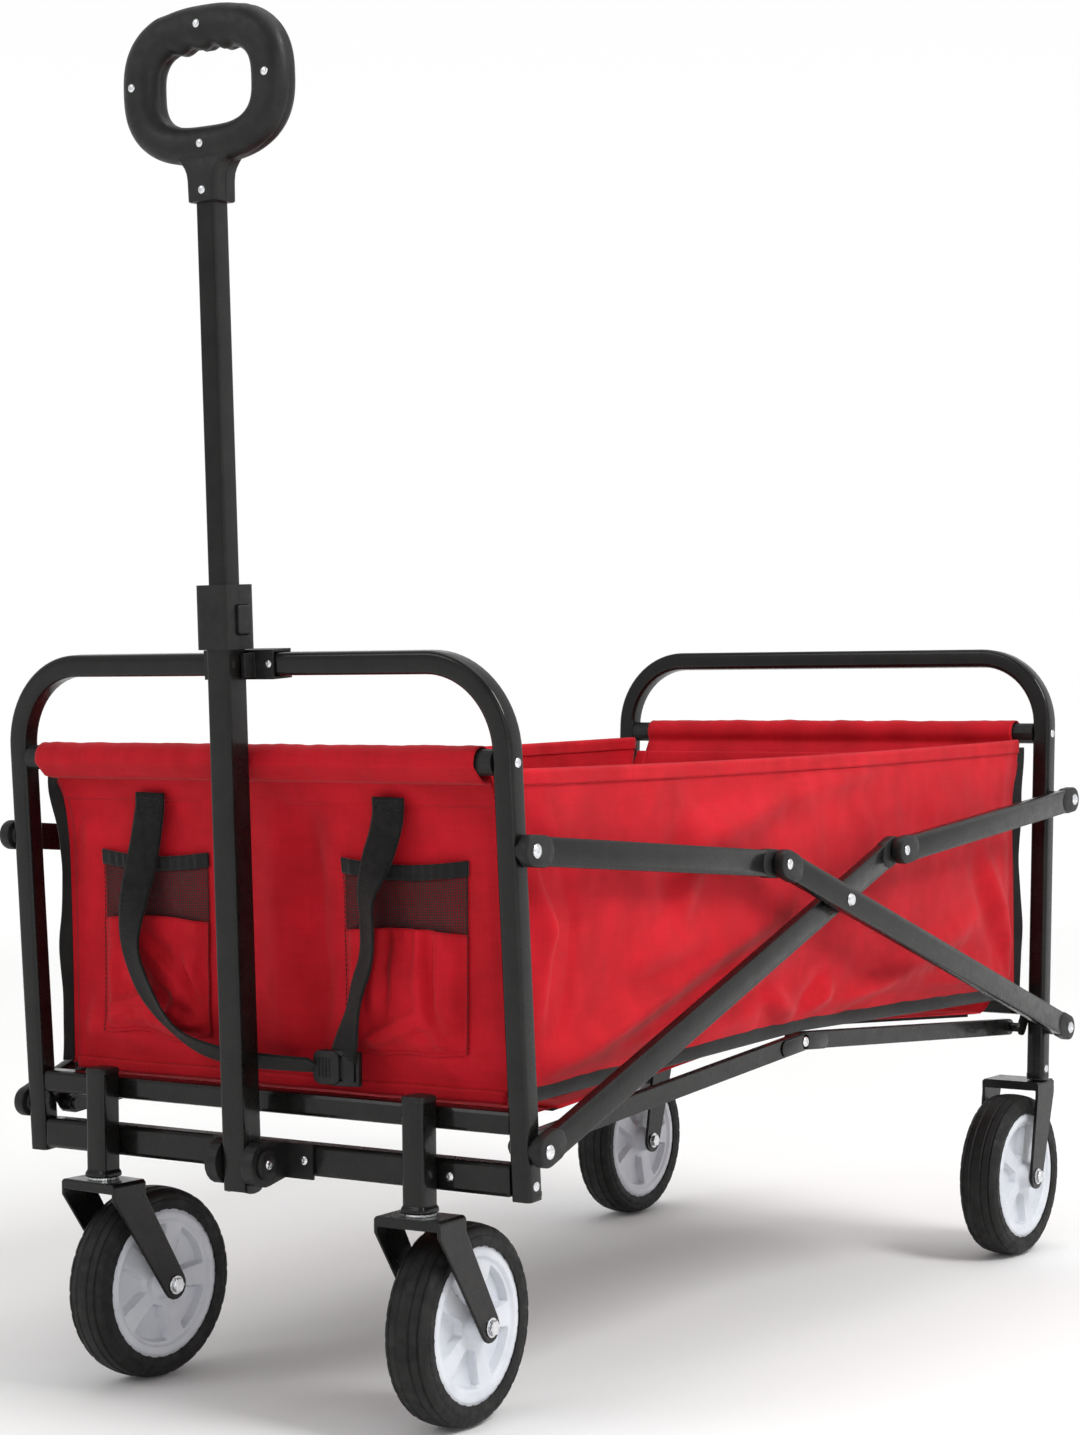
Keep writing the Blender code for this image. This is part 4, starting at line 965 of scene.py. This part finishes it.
def handle_fittings():
    """Screws of the grip, black covers of the pivot bolt, and the clip's and bracket's screws."""
    screws = [(on_handle(x, deep - 0.0002, along), HANDLE_FRONT) for x, along, deep in GRIP_SCREWS]
    rivets("grip_screws", screws, "handle_upper", radius=0.0030, height=0.0009)
    covers, dots = bmesh.new(), bmesh.new()
    for sign in (1, -1):
        turn = facing(HANDLE, (sign, 0, 0))
        turned([(0.0, 0), (0.0, 0.0036), (0.0214, 0.0036), (0.0214, 0.0098), (0.0222, 0.0106),
                (0.0236, 0.0104), (0.0243, 0.0092), (0.0245, 0.0050), (0.0240, 0.0044), (0.0240, 0)],
               32, turn, covers)
        rivet(dots, turn @ Vector((0.0241, 0, 0)), (sign, 0, 0), 0.0036, 0.0012)
    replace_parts(piece("pivot_bolt_covers", covers, "plastic", "front_frame"), "handle_pivot_bolt")
    piece("pivot_bolt_ends", dots, "zinc", "front_frame")
    bar_face, bar_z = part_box("front_cross_bar")[0].y, box_centre("front_cross_bar").z
    clip_face, clip_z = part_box("handle_clip")[0].y + 0.0121, box_centre("handle_clip").z
    front_screws("bracket_screws", (0.037, -0.037), bar_face - 0.0022, bar_z, 0.0033, 0.0010)
    front_screws("cross_bar_screws", (0.160, -0.160), bar_face + 0.0001, bar_z - 0.001, 0.0034, 0.0012)
    front_screws("clip_screws", (0.0265,), clip_face, clip_z, 0.0031, 0.0011)


def square_cap(bm, middle, stations, corner):
    """A square cap over or under a tube; stations are (height, width)."""
    lofted([[Vector((middle.x + x, middle.y + y, height)) for x, y in rounded(width, width, corner)]
            for height, width in stations], bm)


def post_fittings():
    """Screws through the posts into the rods' plugs, and caps on the caster tubes and posts' feet."""
    for label, end in (("front", -1), ("rear", 1)):
        foot, face = FOOT_Z[end], POST_X + TUBE_W / 2 - 0.0001
        screws = [(P(sign * face, up_frame(end, z), z), Vector((sign, 0, 0)))
                  for sign in (1, -1) for z in (ROD_Z, foot + 0.010)]
        rivets(f"{label}_post_screws", screws, f"{label}_frame", radius=0.0035, height=0.0013)
        caps = bmesh.new()
        stations = ((foot + 0.0002, 0.0132), (foot + 0.0024, 0.0164), (foot + 0.0056, 0.0164),
                    (foot + 0.0060, 0.0150))
        for sign in (1, -1):
            square_cap(caps, P(sign * POST_X, up_frame(end, foot), 0), stations, 0.0036)
        piece(f"{label}_post_feet", caps, "plastic", f"{label}_frame")
    caps = bmesh.new()
    for side in ("left", "right"):
        low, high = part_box(f"front_{side}_caster_tube")
        stations = [(high.z + rise, width) for rise, width in
                    ((-0.0030, 0.0194), (-0.0004, 0.0196), (0.0008, 0.0184), (0.0014, 0.0150))]
        square_cap(caps, (low + high) / 2, stations, 0.0042)
    piece("caster_tube_caps", caps, "plastic", "front_frame")


# ---- pockets and straps -------------------------------------------------------------------
POCKET_X = (0.0620, 0.1630)
POCKET_Z = (0.2570, 0.3370, 0.3800, 0.3905)      # bottom, net's foot, band's foot, top
LEFT_POUCH_FOLDS = (
    ((0.1335, 0.350), (0.1365, 0.284), 0.0040, -0.0072),
    ((0.1370, 0.284), (0.1570, 0.262), 0.0045, -0.0048),
    ((0.0880, 0.264), (0.1300, 0.282), 0.0060, 0.0050),
    ((0.1300, 0.282), (0.1500, 0.272), 0.0050, 0.0034),
    ((0.1020, 0.345), (0.0980, 0.290), 0.0045, -0.0044),
    ((0.0700, 0.330), (0.0760, 0.275), 0.0060, 0.0024),
)
RIGHT_POUCH_FOLDS = (
    ((0.1290, 0.326), (0.0850, 0.288), 0.0065, 0.0050),
    ((0.0840, 0.308), (0.0660, 0.272), 0.0045, -0.0060),
    ((0.1540, 0.272), (0.1180, 0.284), 0.0055, 0.0042),
    ((0.0960, 0.290), (0.1060, 0.268), 0.0050, -0.0040),
    ((0.1480, 0.335), (0.1520, 0.290), 0.0060, 0.0026),
    ((0.1000, 0.272), (0.0740, 0.262), 0.0050, 0.0036),
)


def front_face(x, z):
    """Distance from the middle of the front wall's outer face."""
    outline = sorted((height, out) for out, height in WALL_PATH)
    for (z0, out0), (z1, out1) in zip(outline, outline[1:]):
        if z <= z1:
            out = out0 + (out1 - out0) * max(0.0, (z - z0) / (z1 - z0))
            return out + wall_out(x, z, FRONT_FOLDS, FRONT_SEED, FRONT_HALF) + CLOTH_T / 2
    return outline[-1][1]


def pocket(side, sign, lines):
    """A gathered pouch with a net front and an elastic band along its mouth."""
    near, far = POCKET_X
    bottom, net_foot, band_foot, top = POCKET_Z
    seed = 3.3 + sign

    def before_wall(x, off, z):
        return P(sign * x, -(front_face(sign * x, z) + off), z)

    def sewn_down(u, width):
        return smooth_step(min(u, 1 - u) / width)

    def pouch(u, v):
        x = near + (far - near) * u
        sag = 0.004 * math.exp(-((u - 0.35) / 0.18) ** 2) * (1 - v) - 0.0035 * hump(u) * v ** 2
        z = bottom + (net_foot + 0.0025 - bottom) * v - sag + 0.0015 * math.sin(9 * u + seed) * (1 - v)
        bulge = 0.0072 - 0.0022 * smooth_step((v - 0.6) / 0.4)
        bulge += (folds(x, z, lines) + ripple(0.0018, u * 5, v * 4, seed)) * (1 - 0.35 * v ** 4)
        bulge += ripple(0.0008, u * 15, v * 9, seed + 2)
        full = sewn_down(u, 0.12) * smooth_step(v / 0.14)
        return before_wall(x, 0.0012 + max(0.0014 * v, min(0.0095, bulge)) * full, z)

    def net_front(u, v):
        z = net_foot - 0.002 + (band_foot + 0.002 - net_foot) * v - 0.0040 * hump(u) * v
        swell = 0.0016 + 0.0016 * hump(v) + ripple(0.0009, u * 8, v * 3, seed)
        return before_wall(near + (far - near) * u, 0.0008 + swell * sewn_down(u, 0.12), z)

    def band(u, v):
        z = band_foot + (top - band_foot) * v - 0.0040 * hump(u) - 0.0004
        ruche = 0.0018 + 0.0004 * math.sin(u * 85) * hump(v) + ripple(0.0009, u * 6, 1, seed)
        return before_wall(near - 0.001 + (far - near + 0.002) * u, 0.0015 + ruche * sewn_down(u, 0.10), z)

    def sewn(name, path, mat):
        return stitches(f"{side}_pocket_{name}", path, AHEAD, mat, "front_frame")

    cloth = sheet_grid(f"{side}_pocket_pouch", 90, 70, pouch, "fabric", "front_frame", 0.0008)
    mesh = sheet_grid(f"{side}_pocket_net", 60, 24, net_front, "net", "front_frame", 0.0005)
    elastic = sheet_grid(f"{side}_pocket_band", 150, 6, band, "binding", "front_frame", 0.0016)
    for k, u in enumerate((0.0, 1.0)):
        path = [pouch(u, j / 20) for j in range(21)] + [net_front(u, j / 10) for j in range(1, 11)]
        sewn(f"side_stitches_{k + 1}", [p + AHEAD * 0.0008 for p in path], "binding")
    for name, height in (("seam", 0.985), ("foot", 0.03)):
        path = [pouch(i / 30, height) + AHEAD * 0.0007 for i in range(31)]
        sewn(f"{name}_stitches", path, "fabric")


def between(stops, t):
    """A value that eases from stop to stop; stops are (t, value)."""
    for (t0, a), (t1, b) in zip(stops, stops[1:]):
        if t <= t1:
            return a + (b - a) * smooth_step((t - t0) / (t1 - t0))
    return stops[-1][1]


STRAP_W = 0.0265


def strap(side, route, twist, out):
    """Webbing that hangs in front of the pockets, turning about its own length on the way."""
    path = smoothed(route, 4)

    def centre(t):
        x, z = along_path(path, t)
        return P(x, -between(out, t), z)

    def surface(u, v):
        along = (centre(min(1.0, v + 0.012)) - centre(max(0.0, v - 0.012))).normalized()
        across = along.cross(AHEAD).normalized()
        normal = across.cross(along)
        angle = math.radians(between(twist, v))
        across = across * math.cos(angle) + normal * math.sin(angle)
        cup = 0.0010 * hump(u) * math.sin(9 * v)
        return centre(v) + across * ((u - 0.5) * STRAP_W) + normal * cup

    main = sheet_grid(f"{side}_strap_webbing", 12, 150, surface, "webbing", "front_frame", 0.0015)
    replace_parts(main, f"{side}_strap")
    box = ((0.12, 0.012), (0.88, 0.012), (0.88, 0.055), (0.12, 0.055), (0.12, 0.012), (0.88, 0.055))
    thread = stitches(f"{side}_strap_stitches", [surface(u, v) + AHEAD * 0.0009 for u, v in box], AHEAD,
                      "binding", "front_frame")


def straps():
    """Both straps: their routes on the front (x, z), and their twist and distance along them."""
    strap("left", ((0.1090, 0.4330), (0.1088, 0.4220), (0.1040, 0.4080), (0.0970, 0.3860), (0.0925, 0.3650),
                   (0.0945, 0.3450), (0.0940, 0.3220), (0.0845, 0.3010), (0.0800, 0.2800), (0.0720, 0.2540)),
          ((0, 0), (0.20, -4), (0.45, -34), (0.80, -36), (1.0, -16)),
          ((0, 0.4060), (0.15, 0.4035), (0.45, 0.4120), (1.0, 0.4110)))
    strap("right", ((-0.1060, 0.4330), (-0.1062, 0.4220), (-0.1110, 0.4060), (-0.1170, 0.3800),
                    (-0.1225, 0.3500), (-0.1225, 0.3200), (-0.1110, 0.2940), (-0.0920, 0.2720),
                    (-0.0700, 0.2560), (-0.0430, 0.2490), (-0.0150, 0.2465), (0.0200, 0.2460),
                    (0.0500, 0.2460)),
          ((0, 0), (0.18, 4), (0.42, -28), (0.62, -52), (1.0, -62)),
          ((0, 0.4060), (0.12, 0.4035), (0.38, 0.4120), (0.88, 0.4120), (1.0, 0.4105)))


def moulded_block(bm, centre, size, corner, edge):
    """A block with rounded corners in X and Z and rolled edges front and back; size is X, depth, Z."""
    wide, deep, tall = size
    rings = []
    for y, inset in rolled(-deep / 2, deep / 2, edge):
        loop = rounded(wide - 2 * inset, tall - 2 * inset, max(0.0004, corner - inset), 5)
        rings.append([centre + Vector((x, y, z)) for x, z in loop])
    lofted(rings, bm)


def buckle():
    """Side-release buckle: a hollow body, a base with two side prongs, and strap bars."""
    at = box_centre("strap_buckle") + AHEAD * 0.0065
    blocks = [((-0.0055, 0, 0), (0.0230, 0.0086, 0.0240), 0.0060, 0.0016),
              ((0.0125, 0.0004, 0), (0.0110, 0.0062, 0.0246), 0.0030, 0.0014),
              ((0.0062, 0, 0), (0.0080, 0.0040, 0.0150), 0.0014, 0.0008),
              ((0.0205, 0, 0), (0.0028, 0.0046, 0.0240), 0.0012, 0.0008)]
    for side in (1, -1):
        blocks += [((0.0035, 0, side * 0.0106), (0.0150, 0.0058, 0.0036), 0.0016, 0.0010),
                   ((0.0185, 0, side * 0.0102), (0.0060, 0.0050, 0.0034), 0.0012, 0.0008)]
    for k in range(4):
        blocks.append(((-0.0110 + 0.0030 * k, -0.0044, 0), (0.0012, 0.0010, 0.0140), 0.0005, 0.0003))
    bm = bmesh.new()
    for place, size, corner, edge in blocks:
        moulded_block(bm, at + Vector(place), size, corner, edge)
    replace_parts(piece("side_release_buckle", bm, "plastic", "front_frame"), "strap_buckle")


# ---- studio ---------------------------------------------------------------------------
def area_light(name, place, target, size, power):
    data = bpy.data.lights.new(name, "AREA")
    data.shape = "RECTANGLE"
    data.size, data.size_y, data.energy = size[0], size[1], power
    obj = bpy.data.objects.new(name, data)
    obj.location = place
    obj.rotation_euler = (Vector(target) - Vector(place)).to_track_quat("-Z", "Y").to_euler()
    bpy.context.scene.collection.objects.link(obj)


# Name, place, target, size and watts of each light.
LIGHTS = (("key_light", (2.3, -0.1, 2.5), (0, 0, 0.30), (1.0, 1.2), 58),
          ("front_light", (-1.5, -2.8, 2.2), (0, 0, 0.35), (1.2, 1.4), 15),
          ("strip_light", (2.2, -2.6, 1.1), (0, -0.2, 0.45), (0.30, 2.2), 9),
          ("top_light", (0.1, 0.3, 3.4), (0, 0, 0.30), (2.6, 2.6), 30))


def studio_floor():
    """A pale floor that glows towards its far edge, so that it meets the background."""
    bm = bmesh.new()
    bmesh.ops.create_circle(bm, cap_ends=True, segments=64, radius=40.0)
    mesh = bpy.data.meshes.new("studio_floor")
    bm.to_mesh(mesh)
    bm.free()
    floor = Nodes("pale_floor", 0.85, Emission_Color=(1, 1, 1, 1))
    floor.blend_colors(floor.noise(0.6, 2), (0.86, 0.86, 0.855), (0.90, 0.90, 0.895))
    away = floor.add("ShaderNodeVectorMath", {0: floor.place(1.0)}, operation="LENGTH").outputs["Value"]
    floor.link(floor.span(away, 0.0, 0.42, 0.7, 5.0), "Emission Strength")
    mesh.materials.append(floor.mat)
    obj = bpy.data.objects.new("studio_floor", mesh)
    obj.location = (0, 0, CAD_BOX[0][2] - 0.0005)
    bpy.context.scene.collection.objects.link(obj)


def studio():
    """Floor, lights, and a white world that darkens upwards and towards the front."""
    studio_floor()
    world = bpy.data.worlds.new("studio")
    world.use_nodes = True
    tree = world.node_tree
    coords = tree.nodes.new("ShaderNodeTexCoord")
    split = tree.nodes.new("ShaderNodeSeparateXYZ")
    tree.links.new(coords.outputs["Generated"], split.inputs["Vector"])
    product = tree.nodes.new("ShaderNodeMath")
    product.operation = "MULTIPLY"
    for k, (axis, *span) in enumerate((("Z", 0.15, 0.70, 1.0, 0.70), ("Y", -0.55, 0.25, 0.66, 1.0))):
        ramp = tree.nodes.new("ShaderNodeMapRange")
        ramp.interpolation_type = "SMOOTHSTEP"
        for key, value in zip(("From Min", "From Max", "To Min", "To Max"), span):
            ramp.inputs[key].default_value = value
        tree.links.new(split.outputs[axis], ramp.inputs["Value"])
        tree.links.new(ramp.outputs["Result"], product.inputs[k])
    background = tree.nodes["Background"]
    tree.links.new(product.outputs[0], background.inputs["Strength"])
    background.inputs["Color"].default_value = (1, 1, 1, 1)
    bpy.context.scene.world = world
    bpy.context.scene.view_settings.view_transform = "Standard"
    for light in LIGHTS:
        area_light(*light)


CAMERA_PLACE = (1.3556, -2.0509, 0.5202)
CAMERA_TURN = (34.0922, 0.9336, -0.5319)      # yaw, pitch and roll in degrees
CAMERA_LENS = 76.08


def camera():
    """The photo's own view, from the perspective solved for the frames and wheels."""
    yaw, pitch, roll = (math.radians(a) for a in CAMERA_TURN)
    ahead = Vector((-math.sin(yaw) * math.cos(pitch), math.cos(yaw) * math.cos(pitch), -math.sin(pitch)))
    right = Vector((math.cos(yaw), math.sin(yaw), 0))
    up = right.cross(ahead)
    x = math.cos(roll) * right + math.sin(roll) * up
    y = -math.sin(roll) * right + math.cos(roll) * up
    data = bpy.data.cameras.new("camera")
    data.lens = CAMERA_LENS
    data.sensor_width = 36
    obj = bpy.data.objects.new("camera", data)
    obj.matrix_world = Matrix.Translation(CAMERA_PLACE) @ Matrix((x, y, -ahead)).transposed().to_4x4()
    bpy.context.scene.collection.objects.link(obj)
    bpy.context.scene.camera = obj


camera()
studio()
finish_cad_nodes()
frame_tube("front", -1)
frame_tube("rear", 1)
end_wall("front", -1, FRONT_HALF, FRONT_FOLDS, FRONT_SEED)
end_wall("rear", 1, REAR_HALF, REAR_FOLDS, 9.2)
side_wall("left", 1, LEFT_SIDE_FOLDS, 4.1)
side_wall("right", -1, RIGHT_SIDE_FOLDS, 7.9)
floor_cover("front", -1)
floor_cover("rear", 1)
soften_all()
side_linkage()
for wheel_name, fork_body in (("front_left", "left_caster"), ("front_right", "right_caster"),
                              ("rear_left", "rear_frame"), ("rear_right", "rear_frame")):
    wheel(wheel_name, fork_body)
grip_shell("grip_front_shell", 1)
grip_shell("grip_back_shell", -1)
handle_fittings()
post_fittings()
pocket("left", 1, LEFT_POUCH_FOLDS)
pocket("right", -1, RIGHT_POUCH_FOLDS)
straps()
buckle()
